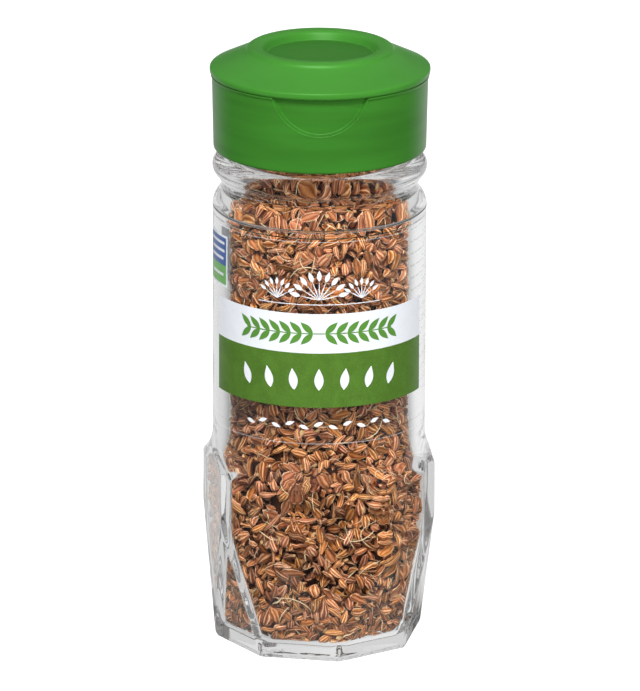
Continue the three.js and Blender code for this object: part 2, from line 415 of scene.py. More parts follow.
class Ink(Enum):
    """The label's printing inks, as linear colours."""

    WHITE = (0.70, 0.73, 0.77)
    GREEN = (0.068, 0.155, 0.018)
    LEAF = (0.085, 0.23, 0.035)
    BLUE = (0.045, 0.10, 0.30)
    PANEL_GREEN = (0.13, 0.36, 0.09)


@dataclass(frozen=True)
class Printed:
    """An ink on film: even, with the fine speckle of a print screen."""

    ink: Ink
    speckle: float = 0.10
    cover: float = 1.0

    def build(self) -> bpy.types.Material:
        """The material: the ink's colour, a little lighter and darker in fine grains."""
        material, sheet = new_material(f"print_{self.ink.name.lower()}_{self.cover:.1f}")
        grain = SurfaceGrain.place(sheet, 400.0, 3800.0, 0.6)
        dark = tuple(c * (1.0 - self.speckle) for c in self.ink.value)
        light = tuple(min(1.0, c * (1.0 + self.speckle)) for c in self.ink.value)
        tone = sheet.ramp(grain["Tone"], 0.35, 0.65)
        surface = sheet.add(
            "ShaderNodeBsdfPrincipled",
            Base_Color=sheet.blend(tone, dark, light),
            Roughness=sheet.math("MULTIPLY_ADD", grain["Height"], 0.12, 0.28),
        )
        surface.inputs["Alpha"].default_value = self.cover
        sheet.add("ShaderNodeOutputMaterial", Surface=surface.outputs[0])
        return material


@dataclass(frozen=True)
class DrySeed:
    """A seed's ribbed skin: brown furrows, thin pale ribs, and each seed of its own shade."""

    name: str
    furrow: tuple[float, float, float] = (0.25, 0.066, 0.018)
    skin: tuple[float, float, float] = (0.63, 0.246, 0.104)
    ridge: tuple[float, float, float] = (1.0, 0.71, 0.46)
    roughness: float = 0.50

    def build(self) -> bpy.types.Material:
        """The material: furrow to skin by the ridge attribute, pale lines on its crests, shaded by tone."""
        material, sheet = new_material(self.name)
        ridge = sheet.add("ShaderNodeAttribute", attribute_name="ridge").outputs["Fac"]
        tone = sheet.add("ShaderNodeAttribute", attribute_name="tone").outputs["Fac"]
        warm = sheet.add("ShaderNodeAttribute", attribute_name="warm").outputs["Fac"]
        lines = sheet.add("ShaderNodeAttribute", attribute_name="lines").outputs["Fac"]
        grain = SurfaceGrain.place(sheet, 900.0, 3200.0, 0.4)
        slope = sheet.blend(sheet.ramp(ridge, 0.0, 0.55), self.furrow, self.skin)
        crest = sheet.math("MULTIPLY", sheet.ramp(ridge, 0.64, 0.90), sheet.ramp(grain["Tone"], 0.24, 0.42))
        lined = sheet.blend(sheet.math("MULTIPLY", crest, lines), slope, self.ridge)
        shade = sheet.math("MULTIPLY_ADD", tone, 0.85, 0.50)
        speck = sheet.math("MULTIPLY_ADD", grain["Tone"], 1.3, 0.35)
        own = sheet.add("ShaderNodeHueSaturation", Color=lined, Value=sheet.math("MULTIPLY", shade, speck))
        sheet.tree.links.new(sheet.math("MULTIPLY_ADD", warm, 0.012, 0.4955), own.inputs["Hue"])
        sheet.tree.links.new(sheet.math("MULTIPLY_ADD", warm, 0.12, 0.95), own.inputs["Saturation"])
        surface = sheet.add(
            "ShaderNodeBsdfPrincipled",
            Base_Color=own.outputs[0],
            Roughness=sheet.math("MULTIPLY_ADD", grain["Height"], 0.25, self.roughness - 0.12),
            Normal=sheet.bump(grain["Height"], 0.06 * MM),
        )
        surface.inputs["Specular IOR Level"].default_value = 0.18
        sheet.add("ShaderNodeOutputMaterial", Surface=surface.outputs[0])
        return material


@dataclass(frozen=True)
class Straw:
    """Matter of one colour, mottled: the stalks and the chaff, and the heap's heart, whose near-black colour
    is painted shade.
    """

    name: str
    colour: tuple[float, float, float]
    spread: float = 0.3

    def build(self) -> bpy.types.Material:
        """The material: one colour, lighter and darker in patches."""
        material, sheet = new_material(self.name)
        grain = SurfaceGrain.place(sheet, 500.0, 3000.0, 0.4)
        dark = tuple(c * (1.0 - self.spread) for c in self.colour)
        light = tuple(c * (1.0 + self.spread) for c in self.colour)
        surface = sheet.add(
            "ShaderNodeBsdfPrincipled",
            Base_Color=sheet.blend(sheet.ramp(grain["Tone"], 0.35, 0.65), dark, light),
            Roughness=sheet.math("MULTIPLY_ADD", grain["Height"], 0.2, 0.5),
            Normal=sheet.bump(grain["Height"], 0.04 * MM),
        )
        sheet.add("ShaderNodeOutputMaterial", Surface=surface.outputs[0])
        return material


# --------------------------------------------------------------------------- the jar's form


@dataclass(frozen=True)
class JarForm:
    """The glass jar's form: a round body over an eight-sided base with cut corners."""

    body: float = 19.95 * MM
    wall: float = 3.1 * MM
    floor: float = 2.4 * MM
    flats: int = 8
    first_flat: float = FRONT + math.radians(11.5)
    corner: float = 22.25 * MM
    corner_low: float = 24.5 * MM
    foot: float = 19.85 * MM
    foot_top: float = 0.9 * MM
    foot_bevel: float = 0.3 * MM
    flare_top: float = 40.2 * MM
    flare_radius: float = 8.0 * MM
    shoulder: float = 83.6 * MM
    groove: tuple[float, float] = (18.25 * MM, 87.9 * MM)
    bead: tuple[float, float] = (20.0 * MM, 91.6 * MM)
    bead_half: float = 2.1 * MM
    neck: float = 17.5 * MM
    bore: float = 14.0 * MM
    neck_top: float = 107.3 * MM
    heel: float = 1.8 * MM
    fade_from: float = 38.0 * MM
    flat_walls: tuple[float, ...] = (3.1, 1.95, 3.1, 2.6, 2.9, 2.7, 2.8, 2.4)

    @property
    def walls(self) -> Array:
        """The glass's thickness behind each flat, which is uneven."""
        return np.array(self.flat_walls) * MM

    @property
    def half_flat(self) -> float:
        """Half the angle that one flat takes."""
        return math.pi / self.flats

    def plane_distances(self, z: Array, walls: Array) -> tuple[Array, Array]:
        """How far from the axis each flat and each corner's cut is at a height.

        Above the corners' low ends the flats stand upright; below, they lean in to the foot's corners,
        and a steeper plane cuts each corner away down to the middle of the foot's side.

        Args:
            z: Heights.
            walls: How far each flat's plane is moved inwards.

        Returns:
            The flats' and the cuts' distances, with one more axis for the eight of them.
        """
        flat = self.corner * math.cos(self.half_flat)
        rise = self.corner_low - self.foot_top
        lean = (flat - self.foot) / rise
        cut_lean = (self.corner - self.foot * math.cos(self.half_flat)) / rise
        below = (self.corner_low - z)[..., None]
        bevel = np.maximum(0.0, self.foot_top - z)[..., None] * (self.foot_bevel / self.foot_top)
        bevel = bevel * (walls.max() == 0.0)
        between = 0.5 * (walls + np.roll(walls, -1))
        flats = flat - lean * np.maximum(0.0, below) - walls * math.hypot(1.0, lean) - bevel
        cuts = self.corner - cut_lean * below - between * math.hypot(1.0, cut_lean) - bevel
        return flats, cuts

    def column_angles(self, z: Array, walls: Array, columns: int) -> Array:
        """Angles for a row of columns that follow the edges of the flats and of the corners' cuts.

        A plane at distance c, turned by b from one at distance f, meets it at the angle
        atan((c - f cos b) / (f sin b)) from the latter. From one flat's middle to the next, a quarter of
        the columns lead to the first edge, half lie between both edges and a quarter lead on, and all
        crowd towards the edges. On the round body they spread out evenly.

        Args:
            z: Heights, shaped (rows, 1).
            walls: How far each flat's plane is moved inwards.
            columns: Columns in a whole turn, a multiple of the flats.

        Returns:
            Angles, shaped (rows, columns).
        """
        half, least, crowd = self.half_flat, math.radians(0.8), 1.8
        flats, cuts = (values[:, 0] for values in self.plane_distances(z, walls))
        ends = []
        for here, there in ((flats, np.roll(flats, -1, axis=1)), (np.roll(flats, -1, axis=1), flats)):
            corner = np.arctan2(there - here * math.cos(2 * half), here * math.sin(2 * half))
            cut = np.arctan2(cuts - here * math.cos(half), here * math.sin(half))
            ends.append(np.clip(cut, least, corner - least)[..., None])
        first, last = ends[0], 2.0 * half - ends[1]
        u = np.linspace(0.0, 1.0, columns // self.flats, endpoint=False)[None, None, :]
        lead = first - first * np.clip(1.0 - 4.0 * u, 0.0, 1.0) ** crowd
        on = last + (2.0 * half - last) * np.clip(4.0 * u - 3.0, 0.0, 1.0) ** crowd
        low, high = np.clip(4.0 * u - 1.0, 0.0, 1.0), np.clip(3.0 - 4.0 * u, 0.0, 1.0)
        middle = first + (last - first) * np.where(u < 0.5, 0.5 * low**crowd, 1.0 - 0.5 * high**crowd)
        edged = np.where(u < 0.25, lead, np.where(u < 0.75, middle, on))
        even = smooth_step(z, 35.0 * MM, 44.0 * MM)[..., None]
        start = self.first_flat + 2.0 * half * np.arange(self.flats)[None, :, None]
        return (start + (1.0 - even) * edged + even * 2.0 * half * u).reshape(len(z), -1)

    def facets(self, angle: Array, z: Array, walls: Array, softness: float) -> Array:
        """How far the facetted form reaches at an angle and a height.

        A plane at distance d from the axis, facing the angle a, is met at d / cos(angle - a).

        Args:
            angle: Angles about the axis.
            z: Heights.
            walls: How far each flat's plane is moved inwards.
            softness: How much the edges between planes are rounded.

        Returns:
            Radii.
        """
        flats, cuts = self.plane_distances(z, walls)
        planes = []
        for k in range(self.flats):
            facing = self.first_flat + 2.0 * self.half_flat * k
            for turn, far in ((0.0, flats[..., k]), (self.half_flat, cuts[..., k])):
                share = np.cos(angle - facing - turn)
                planes.append(np.where(share > 0.3, far / np.maximum(share, 0.3), 1.0))
        return soft_least(np.stack(planes), softness)

    def faded(self, facets: Array, z: Array) -> Array:
        """Moves the facetted form out of the way above the base, by four times the height over fade_from."""
        return facets + 4.0 * np.maximum(0.0, z - self.fade_from)

    def flare(self, z: Array, inset: float) -> Array:
        """The hollow curve that widens the round body to the corners: a circle's arc in profile.

        Args:
            z: Heights.
            inset: How far inside the outer surface the curve runs.

        Returns:
            Radii.
        """
        radius = self.flare_radius + inset
        drop = np.clip(self.flare_top - z, 0.0, radius)
        return self.body + self.flare_radius - np.sqrt(radius**2 - drop**2)

    def outside_profile(self) -> Array:
        """The round part of the outside, from the foot up to the neck's rim.

        Returns:
            Pairs of radius and height.
        """
        low = np.concatenate([
            np.array([0.0, 0.15, 0.3, 0.6, 0.9, 1.15, 1.5]) * MM,
            np.linspace(2.4, 23.0, 11) * MM,
            np.linspace(23.6, 25.4, 7) * MM,
            np.linspace(27.0, 33.0, 4) * MM,
            np.linspace(33.8, 40.6, 40) * MM,
        ])
        wide = np.where(low > self.flare_top - 6.0 * MM, self.flare(low, 0.0), 0.03)
        marks = np.array([
            (self.body, 44.0 * MM),
            (self.body, 62.0 * MM),
            (self.body, self.shoulder - 1.2 * MM),
            (self.body, self.shoulder),
            (self.body - 0.14 * MM, self.shoulder + 1.4 * MM),
            (self.body - 0.75 * MM, self.shoulder + 2.6 * MM),
            (self.groove[0] + 0.18 * MM, self.groove[1] - 0.7 * MM),
            (self.groove[0], self.groove[1] + 0.1 * MM),
            (self.groove[0] + 0.35 * MM, self.groove[1] + 0.95 * MM),
        ])
        upper = smooth_path(marks, 34)
        turn = np.radians(np.linspace(-58.0, 72.0, 16))
        centre = self.bead[0] - self.bead_half
        bead = np.stack([
            centre + self.bead_half * np.cos(turn),
            self.bead[1] + self.bead_half * np.sin(turn),
        ], axis=-1)
        rim = np.array([
            (self.neck + 0.35 * MM, self.bead[1] + self.bead_half + 0.05 * MM),
            (self.neck, self.bead[1] + self.bead_half + 0.4 * MM),
            (self.neck, self.neck_top - 0.6 * MM),
            (self.neck - 0.15 * MM, self.neck_top - 0.18 * MM),
            (self.neck - 0.6 * MM, self.neck_top),
            (self.bore + 0.6 * MM, self.neck_top),
            (self.bore + 0.15 * MM, self.neck_top - 0.18 * MM),
        ])
        return np.concatenate([np.stack([wide, low], axis=-1), upper, bead, rim])

    def inside_profile(self) -> Array:
        """The round part of the inside, from the bore down towards the floor's edge.

        Returns:
            Pairs of radius and height.
        """
        marks = np.array([
            (self.body - self.wall, 42.0 * MM),
            (self.body - self.wall, 60.0 * MM),
            (self.body - self.wall, self.shoulder - 3.6 * MM),
            (self.body - self.wall - 0.05 * MM, self.shoulder - 1.6 * MM),
            (self.body - self.wall - 0.6 * MM, self.shoulder + 0.6 * MM),
            (self.bore + 0.8 * MM, self.groove[1] - 1.9 * MM),
            (self.bore + 0.1 * MM, self.groove[1] + 0.3 * MM),
            (self.bore, self.groove[1] + 2.2 * MM),
            (self.bore, self.neck_top - 1.0 * MM),
        ])
        upper = smooth_path(marks, 30)[::-1]
        low = np.concatenate([
            np.linspace(40.6, 31.0, 36) * MM,
            np.linspace(30.0, 26.0, 3) * MM,
            np.linspace(25.4, 22.6, 6) * MM,
            np.linspace(21.0, 5.0, 9) * MM,
        ])
        return np.concatenate([upper, np.stack([self.flare(low, self.wall), low], axis=-1)])

    def inside(self, angle: Array, z: Array, softness: float = 0.16 * MM) -> Array:
        """How far the inside reaches from the axis.

        Args:
            angle: Angles about the axis.
            z: Heights.
            softness: How much the edges are rounded.

        Returns:
            Radii.
        """
        facets = self.facets(angle, z, self.walls, softness)
        profile = self.inside_profile()
        order = np.argsort(profile[:, 1])
        round_part = np.interp(z, profile[order, 1], profile[order, 0])
        round_part = np.where(z < 33.0 * MM, 0.025, round_part)
        up = np.clip((self.floor + self.heel - z) / self.heel, 0.0, 1.0)
        tucked = self.heel * (1.0 - np.sqrt(1.0 - up**2)) * 0.9
        return soft_least(np.stack([self.faded(facets, z), round_part]), 0.15 * MM) - tucked


def smooth_path(marks: Array, count: int) -> Array:
    """A smooth line through marks, by Catmull-Rom pieces, with points closer where the marks are closer.

    Args:
        marks: Points, shaped (marks, 2).
        count: Points wanted; each piece between marks gets the same share.

    Returns:
        Points, shaped (about count, 2), both ends included.
    """
    ends = np.concatenate([2.0 * marks[:1] - marks[1:2], marks, 2.0 * marks[-1:] - marks[-2:-1]])
    pieces = len(marks) - 1
    share = max(2, round(count / pieces))
    t = np.linspace(0.0, 1.0, share, endpoint=False)[None, :, None]
    a, b, c, d = (ends[i : i + pieces, None, :] for i in range(4))
    square, cube = 2.0 * a - 5.0 * b + 4.0 * c - d, 3.0 * b - a - 3.0 * c + d
    line = 0.5 * (2.0 * b + (c - a) * t + square * t**2 + cube * t**3)
    return np.concatenate([line.reshape(-1, 2), marks[-1:]])


@dataclass
class GlassJar:
    """The jar as one closed glass wall, outside, rim and inside in one surface."""

    form: JarForm
    columns: int = 400
    stipple: float = 0.035 * MM
    edge_softness: float = 0.09 * MM
    ripple: float = 0.035 * MM
    round_from: float = 41.5 * MM
    floor_lift: float = 0.5 * MM

    def rings(self) -> Array:
        """The wall from the middle of the foot, up the outside, over the rim and down the inside.

        Returns:
            Rings of points, shaped (rings, columns, 3).
        """
        form = self.form
        outside = form.outside_profile()
        z = outside[:, 1:]
        bare = np.zeros(form.flats)
        angle = form.column_angles(z, bare, self.columns)
        facets = form.facets(angle, z + 0.0 * angle, bare, self.edge_softness)
        round_part = np.broadcast_to(outside[:, :1], facets.shape)
        faced = soft_least(np.stack([form.faded(facets, z), round_part]), self.edge_softness)
        outer = np.where(z > self.round_from, round_part, faced) + self.foot_stipple(z)
        inside = form.inside_profile()
        heel = form.floor + form.heel * (1.0 - np.sin(np.radians(np.linspace(8.0, 90.0, 9))))
        down = np.concatenate([inside[:, 1], heel])[:, None]
        turned = form.column_angles(down, form.walls, self.columns)
        inner = form.inside(turned, down + 0.0 * turned) + self.waviness(turned, down)
        shares = np.array([0.0, 0.25, 0.5, 0.75, 0.9, 0.97, 0.995])[:, None]
        floor = shares[::-1][1:] * inner[-1:]
        lift = self.floor_lift * (1.0 - (floor / inner[-1:]) ** 2) ** 2
        radius = np.concatenate([shares * outer[:1], outer, inner, floor])
        foot_angle = np.repeat(angle[:1], len(shares), axis=0)
        floor_angle = np.repeat(turned[-1:], len(floor), axis=0)
        angle = np.concatenate([foot_angle, angle, turned, floor_angle])
        heights = (0.0 * shares * outer[:1], z + 0.0 * outer, down + 0.0 * inner, form.floor + lift)
        return about_axis(radius, angle, np.concatenate(heights))

    def foot_stipple(self, z: Array) -> Array:
        """The fine stipple of the foot's rim: each point below its top edge moved in or out by chance."""
        bumps = np.random.default_rng(3).normal(0.0, self.stipple, (len(z), self.columns))
        return bumps * ((z > 0.05 * MM) & (z < 0.8 * MM))

    def waviness(self, angle: Array, z: Array) -> Array:
        """The slow unevenness of the inner wall.

        The formula is ripple (0.6 sin(3a + 260z) cos(2a - 190z) + 0.4 sin(5a - 430z + 1.3)), with z in
        metres, and it fades out towards the floor.

        Args:
            angle: Angles about the axis.
            z: Heights.

        Returns:
            How far each point is moved outwards.
        """
        a = np.sin(3.0 * angle + 260.0 * z) * np.cos(2.0 * angle - 190.0 * z)
        b = np.sin(5.0 * angle - 430.0 * z + 1.3)
        return self.ripple * (0.6 * a + 0.4 * b) * smooth_step(z, 6.0 * MM, 12.0 * MM)

    def build(self) -> bpy.types.Object:
        """Makes and dresses the jar."""
        vertices, triangles = closed_round(self.rings())
        piece = make_piece("jar_glass", vertices, triangles)
        return dress(piece, Glass().build(), "glass_jar", "glass_jar")


# --------------------------------------------------------------------------- the seeds


class SeedKind(Enum):
    """The kinds of fruit in the heap, by the names of their pieces."""

    TAN = "seeds_tan"
    BROWN = "seeds_brown"
    CURVED = "seeds_curved"
    OPEN = "seeds_open"
    WHOLE = "seeds_whole"


@dataclass(frozen=True)
class SeedForm:
    """The proportions of one kind of fruit, as ranges over its seeds."""

    share: float
    length: tuple[float, float] = (0.85, 1.12)
    width: tuple[float, float] = (0.88, 1.10)
    thick: tuple[float, float] = (0.66, 0.90)
    bend: tuple[float, float] = (0.03, 0.15)
    broad: tuple[float, float] = (0.36, 0.50)
    tip: tuple[float, float] = (0.55, 0.85)
    ribs: tuple[float, float] = (0.04, 0.12)
    lines: tuple[float, float] = (0.45, 1.0)
    hollow: float = 0.24
    turned_in: float = 0.15
    whole: bool = False


@dataclass
class Settled:
    """Where the seeds lie: middles, long axes, sizes, and how deep each lies behind the glass."""

    middle: Array
    along: Array
    length: Array
    width: Array
    depth: Array


@dataclass
class SeedPacking:
    """Fills the space behind the glass with seeds that push each other apart until they hardly overlap.

    Each seed is three balls on a line. Overlapping balls push apart, the wall and the floor push in, and
    a seed moves and turns by the sum of the pushes on its balls.
    """

    form: JarForm
    top: float = 97.5 * MM
    count: int = 7600
    layer: float = 3.3 * MM
    seed: int = 38
    rounds: int = 80
    cell: float = 1.9 * MM
    ball_spacing: float = 0.30
    ball_sizes: tuple[float, float, float] = (0.36, 0.44, 0.36)
    step: float = 0.6
    twist_step: float = 0.7
    lie_down: float = 0.012
    rng: np.random.Generator = field(init=False)

    def __post_init__(self) -> None:
        """Starts the stream of random numbers."""
        self.rng = np.random.default_rng(self.seed)

    def start(self) -> Settled:
        """Scatters the seeds through the layer behind the wall and over the floor.

        Returns:
            The seeds before they settle.
        """
        rng, form = self.rng, self.form
        on_floor = self.count // 11
        angle = rng.uniform(0.0, 2.0 * np.pi, self.count)
        z = rng.uniform(form.floor + 1.0 * MM, self.top - 1.0 * MM, self.count)
        z[:on_floor] = form.floor + rng.uniform(0.8, 2.8, on_floor) * MM
        depth = rng.uniform(0.6, 3.3, self.count) * MM
        radius = form.inside(angle, z) - depth
        radius[:on_floor] = 13.0 * MM * np.sqrt(rng.uniform(0.0, 1.0, on_floor))
        middle = np.stack([radius * np.cos(angle), radius * np.sin(angle), z], axis=-1)
        along = rng.normal(size=(self.count, 3))
        along /= np.linalg.norm(along, axis=1, keepdims=True)
        length = np.clip(rng.normal(3.05, 0.48, self.count), 2.0, 4.5) * MM
        width = np.clip(rng.normal(1.60, 0.22, self.count), 1.1, 2.2) * MM
        return Settled(middle, along, length, width, depth)

    @staticmethod
    def pairs(points: Array, cell: float) -> tuple[Array, Array]:
        """Every pair of points in the same or touching cells of a cubic lattice.

        Cells are numbered along a line; points are sorted by cell, and each of the 13 forward
        neighbours, and the cell itself, is looked up in the sorted list.

        Args:
            points: Points, shaped (count, 3).
            cell: The lattice's step.

        Returns:
            Two arrays of point numbers.
        """
        spot = np.floor((points - points.min(axis=0)) / cell).astype(np.int64) + 1
        span = spot.max(axis=0) + 2
        key = (spot[:, 0] * span[1] + spot[:, 1]) * span[2] + spot[:, 2]
        order = np.argsort(key, kind="stable")
        ranked = key[order]
        first, second = [], []
        steps = [(i, j, k) for i in (-1, 0, 1) for j in (-1, 0, 1) for k in (-1, 0, 1)]
        for i, j, k in steps[13:]:
            wanted = ranked + (i * span[1] + j) * span[2] + k
            low = np.searchsorted(ranked, wanted, "left")
            high = np.searchsorted(ranked, wanted, "right")
            if (i, j, k) == (0, 0, 0):
                low = np.arange(len(ranked)) + 1
            number = np.maximum(high - low, 0)
            left = np.repeat(np.arange(len(ranked)), number)
            step = np.arange(number.sum()) - np.repeat(np.cumsum(number) - number, number)
            first.append(order[left])
            second.append(order[np.repeat(low, number) + step])
        return np.concatenate(first), np.concatenate(second)

    def settle(self) -> Settled:
        """Runs the pushing.

        Returns:
            The seeds at rest.
        """
        seeds = self.start()
        offset = np.array([-1.0, 0.0, 1.0])
        owner = np.repeat(np.arange(self.count), 3)
        for turn in range(self.rounds):
            reach = self.ball_spacing * seeds.length[:, None] * offset
            balls = (seeds.middle[:, None] + reach[..., None] * seeds.along[:, None]).reshape(-1, 3)
            radius = (seeds.width[:, None] * np.array(self.ball_sizes)).reshape(-1)
            push = self.crowd_push(balls, radius, owner) + self.wall_push(balls, radius)
            push = push.reshape(-1, 3, 3)
            lever = reach[..., None] * seeds.along[:, None]
            seeds.middle = seeds.middle + self.step * push.mean(axis=1)
            twist = np.cross(lever, push).sum(axis=1)
            hold = (reach**2).sum(axis=1)[:, None]
            seeds.along = seeds.along + self.twist_step * np.cross(twist / hold, seeds.along)
            seeds.along /= np.linalg.norm(seeds.along, axis=1, keepdims=True)
            if turn < self.rounds // 2:
                self.flatten(seeds)
        angle = np.arctan2(seeds.middle[:, 1], seeds.middle[:, 0])
        seeds.depth = self.form.inside(angle, seeds.middle[:, 2]) - np.hypot(*seeds.middle[:, :2].T)
        return seeds

    def flatten(self, seeds: Settled) -> None:
        """Turns every seed a little towards lying along the wall."""
        outward = seeds.middle * (1.0, 1.0, 0.0)
        outward /= np.linalg.norm(outward, axis=1, keepdims=True) + 1e-9
        across = (seeds.along * outward).sum(axis=1, keepdims=True)
        seeds.along = seeds.along - self.lie_down * across * outward
        seeds.along /= np.linalg.norm(seeds.along, axis=1, keepdims=True)

    def crowd_push(self, balls: Array, radius: Array, owner: Array) -> Array:
        """The push of overlapping balls on each other, half the overlap each.

        Args:
            balls: The balls' middles.
            radius: Their radii.
            owner: The number of the seed that each belongs to.

        Returns:
            How far each ball is pushed.
        """
        first, second = self.pairs(balls, self.cell)
        apart = balls[second] - balls[first]
        distance = np.linalg.norm(apart, axis=1) + 1e-12
        overlap = radius[first] + radius[second] - distance
        touching = (overlap > 0.0) & (owner[first] != owner[second])
        first, second = first[touching], second[touching]
        move = (0.5 * overlap[touching] / distance[touching])[:, None] * apart[touching]
        push = np.empty_like(balls)
        for axis in range(3):
            gained = np.bincount(second, move[:, axis], len(balls))
            push[:, axis] = gained - np.bincount(first, move[:, axis], len(balls))
        return push

    def wall_push(self, balls: Array, radius: Array) -> Array:
        """The push of the wall, the floor and the heap's own heart, which keeps the layer thin.

        Args:
            balls: The balls' middles.
            radius: Their radii.

        Returns:
            How far each ball is pushed.
        """
        form = self.form
        angle = np.arctan2(balls[:, 1], balls[:, 0])
        reach = np.hypot(balls[:, 0], balls[:, 1])
        wall = form.inside(angle, np.maximum(balls[:, 2], form.floor + 1.0 * MM)) - 1.12 * radius
        inwards = -np.maximum(0.0, reach - wall)
        above_floor = balls[:, 2] > form.floor + self.layer
        heart = np.where(above_floor, np.maximum(0.0, wall - self.layer - reach), 0.0)
        outward = np.stack([np.cos(angle), np.sin(angle)], axis=-1)
        push = np.zeros_like(balls)
        push[:, :2] = outward * (inwards + 0.3 * heart)[:, None]
        push[:, 2] = np.maximum(0.0, form.floor + 0.3 * MM + 1.1 * radius - balls[:, 2])
        push[:, 2] -= np.maximum(0.0, balls[:, 2] - self.top)
        return push


@dataclass
class AniseSeeds:
    """The heap: halves of the fruit with ribbed backs, some whole fruits, stalks, chaff and a heart painted
    dark as shade.
    """

    form: JarForm
    shown: float = 2.1 * MM
    paler_from: float = 10.0 * MM
    paler_up: float = 4.5
    stalk_count: int = 480
    stalk_depth: float = 1.5 * MM
    flake_count: int = 600
    flake_depth: float = 1.7 * MM
    flake_drift: float = 1.2 * MM
    fine_back: tuple[float, ...] = (4.0, 28.0, 49.0, 70.0, 90.0, 110.0, 131.0, 152.0, 176.0)
    plain_back: tuple[float, ...] = (4.0, 47.0, 90.0, 133.0, 176.0)
    fine: Array = field(default_factory=lambda: np.array([0.0, 0.035, 0.17, 0.40, 0.68, 0.91, 1.0]))
    plain: Array = field(default_factory=lambda: np.array([0.0, 0.10, 0.40, 0.78, 1.0]))
    rng: np.random.Generator = field(default_factory=lambda: np.random.default_rng(5))

    def section(self, shape: SeedForm, fine: bool) -> tuple[Array, Array, Array]:
        """A seed's cross-section as points sideways and upwards, and how much of a rib each point is.

        A half fruit has five ribs on its round back, two of them its rims, and a hollow inner face with
        a raised line along its middle. A whole fruit has six ribs all round. A plain one, which lies
        deeper in the heap, has three ribs on its back, or four all round.

        Args:
            shape: The proportions of its kind.
            fine: True for one that lies close to the glass.

        Returns:
            Sideways and upwards shares of half the width and the thickness, and the ribs from 0 to 1.
        """
        if shape.whole:
            count = 12 if fine else 8
            turn = np.arange(count) * (2.0 * np.pi / count)
            return np.cos(turn), np.sin(turn), (np.arange(count) % 2 == 0).astype(float)
        turn = np.radians(self.fine_back if fine else self.plain_back)
        side = np.concatenate([np.cos(turn), [-0.56, 0.0, 0.56]])
        up = np.concatenate([np.sin(turn), [shape.hollow, 0.04, shape.hollow]])
        rib = np.concatenate([(np.arange(len(turn)) % 2 == 0).astype(float), [0.05, 0.72, 0.05]])
        return side, up, rib

    def surfaces(
        self, seeds: Settled, chosen: Array, shape: SeedForm, fine: bool
    ) -> tuple[Array, dict[str, Array]]:
        """The chosen seeds as rings of points.

        With u from 0 at the broad end to 1 at the tip, a ring's radius is u^broad (1 - u)^tip over the
        greatest value of that, and the ring's middle is lifted by bend length (0.6 - (2u - 1)^2). Every
        point but those at the ends is then moved a little by chance.

        Args:
            seeds: Where all seeds lie.
            chosen: The numbers of the seeds to make.
            shape: The proportions of their kind.
            fine: True for seeds close to the glass.

        Returns:
            Points shaped (seeds, rings, round, 3), and the numbers that the skin reads for each point.
        """
        rng, one = self.rng, (len(chosen), 1, 1)
        side, up, rib = (values[None, None, :] for values in self.section(shape, fine))
        u = (self.fine if fine else self.plain)[None, :, None]
        broad, tip = rng.uniform(*shape.broad, one), rng.uniform(*shape.tip, one)
        most = (broad / (broad + tip)) ** broad * (tip / (broad + tip)) ** tip
        full = u**broad * (1.0 - u) ** tip / most
        ribbed = 1.0 + rng.uniform(*shape.ribs, one) * (2.0 * rib - 1.0)
        length = seeds.length[chosen].reshape(one) * rng.uniform(*shape.length, one)
        width = seeds.width[chosen].reshape(one) * rng.uniform(*shape.width, one)
        thick = width * rng.uniform(*shape.thick, one)
        lift = rng.uniform(*shape.bend, one) * length * (0.6 - (2.0 * u - 1.0) ** 2)
        lying = 0.0 if shape.whole else 0.3
        x = np.broadcast_to((u - 0.5) * length, (len(chosen), u.size, side.size))
        y = 0.5 * full * ribbed * side * width
        z = (0.5 if shape.whole else 0.85) * full * ribbed * up * thick + lift - lying * thick * full
        points = np.stack([x, y, z], axis=-1)
        inner = slice(1, -1)
        points[:, inner] += rng.normal(0.0, 0.030, points[:, inner].shape) * width[..., None]
        paler = self.paler_up * (seeds.middle[chosen, 2].reshape(one) - self.paler_from)
        marks = {
            "ridge": rib + 0.0 * x,
            "tone": rng.uniform(0.0, 1.0, one) + paler + 0.0 * x,
            "warm": rng.uniform(0.0, 1.0, one) + 0.0 * x,
            "lines": rng.uniform(*shape.lines, one) + 0.0 * x,
        }
        return points, marks

    def place(self, local: Array, seeds: Settled, chosen: Array, turned_in: float) -> Array:
        """Turns the rings into place: each back faces the glass or away from it, rolled by chance.

        Args:
            local: Points shaped (seeds, rings, round, 3).
            seeds: Where all seeds lie.
            chosen: The numbers of the seeds.
            turned_in: The share of seeds whose backs face away from the glass.

        Returns:
            Points of the same shape, in the frame.
        """
        along, middle = seeds.along[chosen], seeds.middle[chosen]
        outward = middle * (1.0, 1.0, 0.0)
        roll = self.rng.normal(0.0, 0.7, len(chosen))
        roll += np.pi * (self.rng.uniform(size=len(chosen)) < turned_in)
        side = np.cross(along, outward + (1e-6, 0.0, 0.0))
        side /= np.linalg.norm(side, axis=1, keepdims=True) + 1e-12
        up = np.cross(side, along) * -1.0
        up *= np.sign((up * outward).sum(axis=1, keepdims=True) + 1e-12)
        cos, sin = np.cos(roll)[:, None], np.sin(roll)[:, None]
        back = cos * up + sin * side
        edge = np.cross(back, along)
        frame = np.stack([along, edge, back], axis=1)
        placed = np.einsum("nrcx,nxy->nrcy", local, frame) + middle[:, None, None, :]
        return self.kept_inside(placed)

    def kept_inside(self, points: Array) -> Array:
        """Moves what would reach into the glass back to just inside its wall and just above its floor."""
        form, gap = self.form, 0.03 * MM
        height = np.maximum(points[..., 2], form.floor + 0.55 * MM)
        angle = np.arctan2(points[..., 1], points[..., 0])
        reach = np.hypot(points[..., 0], points[..., 1]) + 1e-9
        share = np.minimum(1.0, (form.inside(angle, height) - gap) / reach)
        return np.stack([points[..., 0] * share, points[..., 1] * share, height], axis=-1)

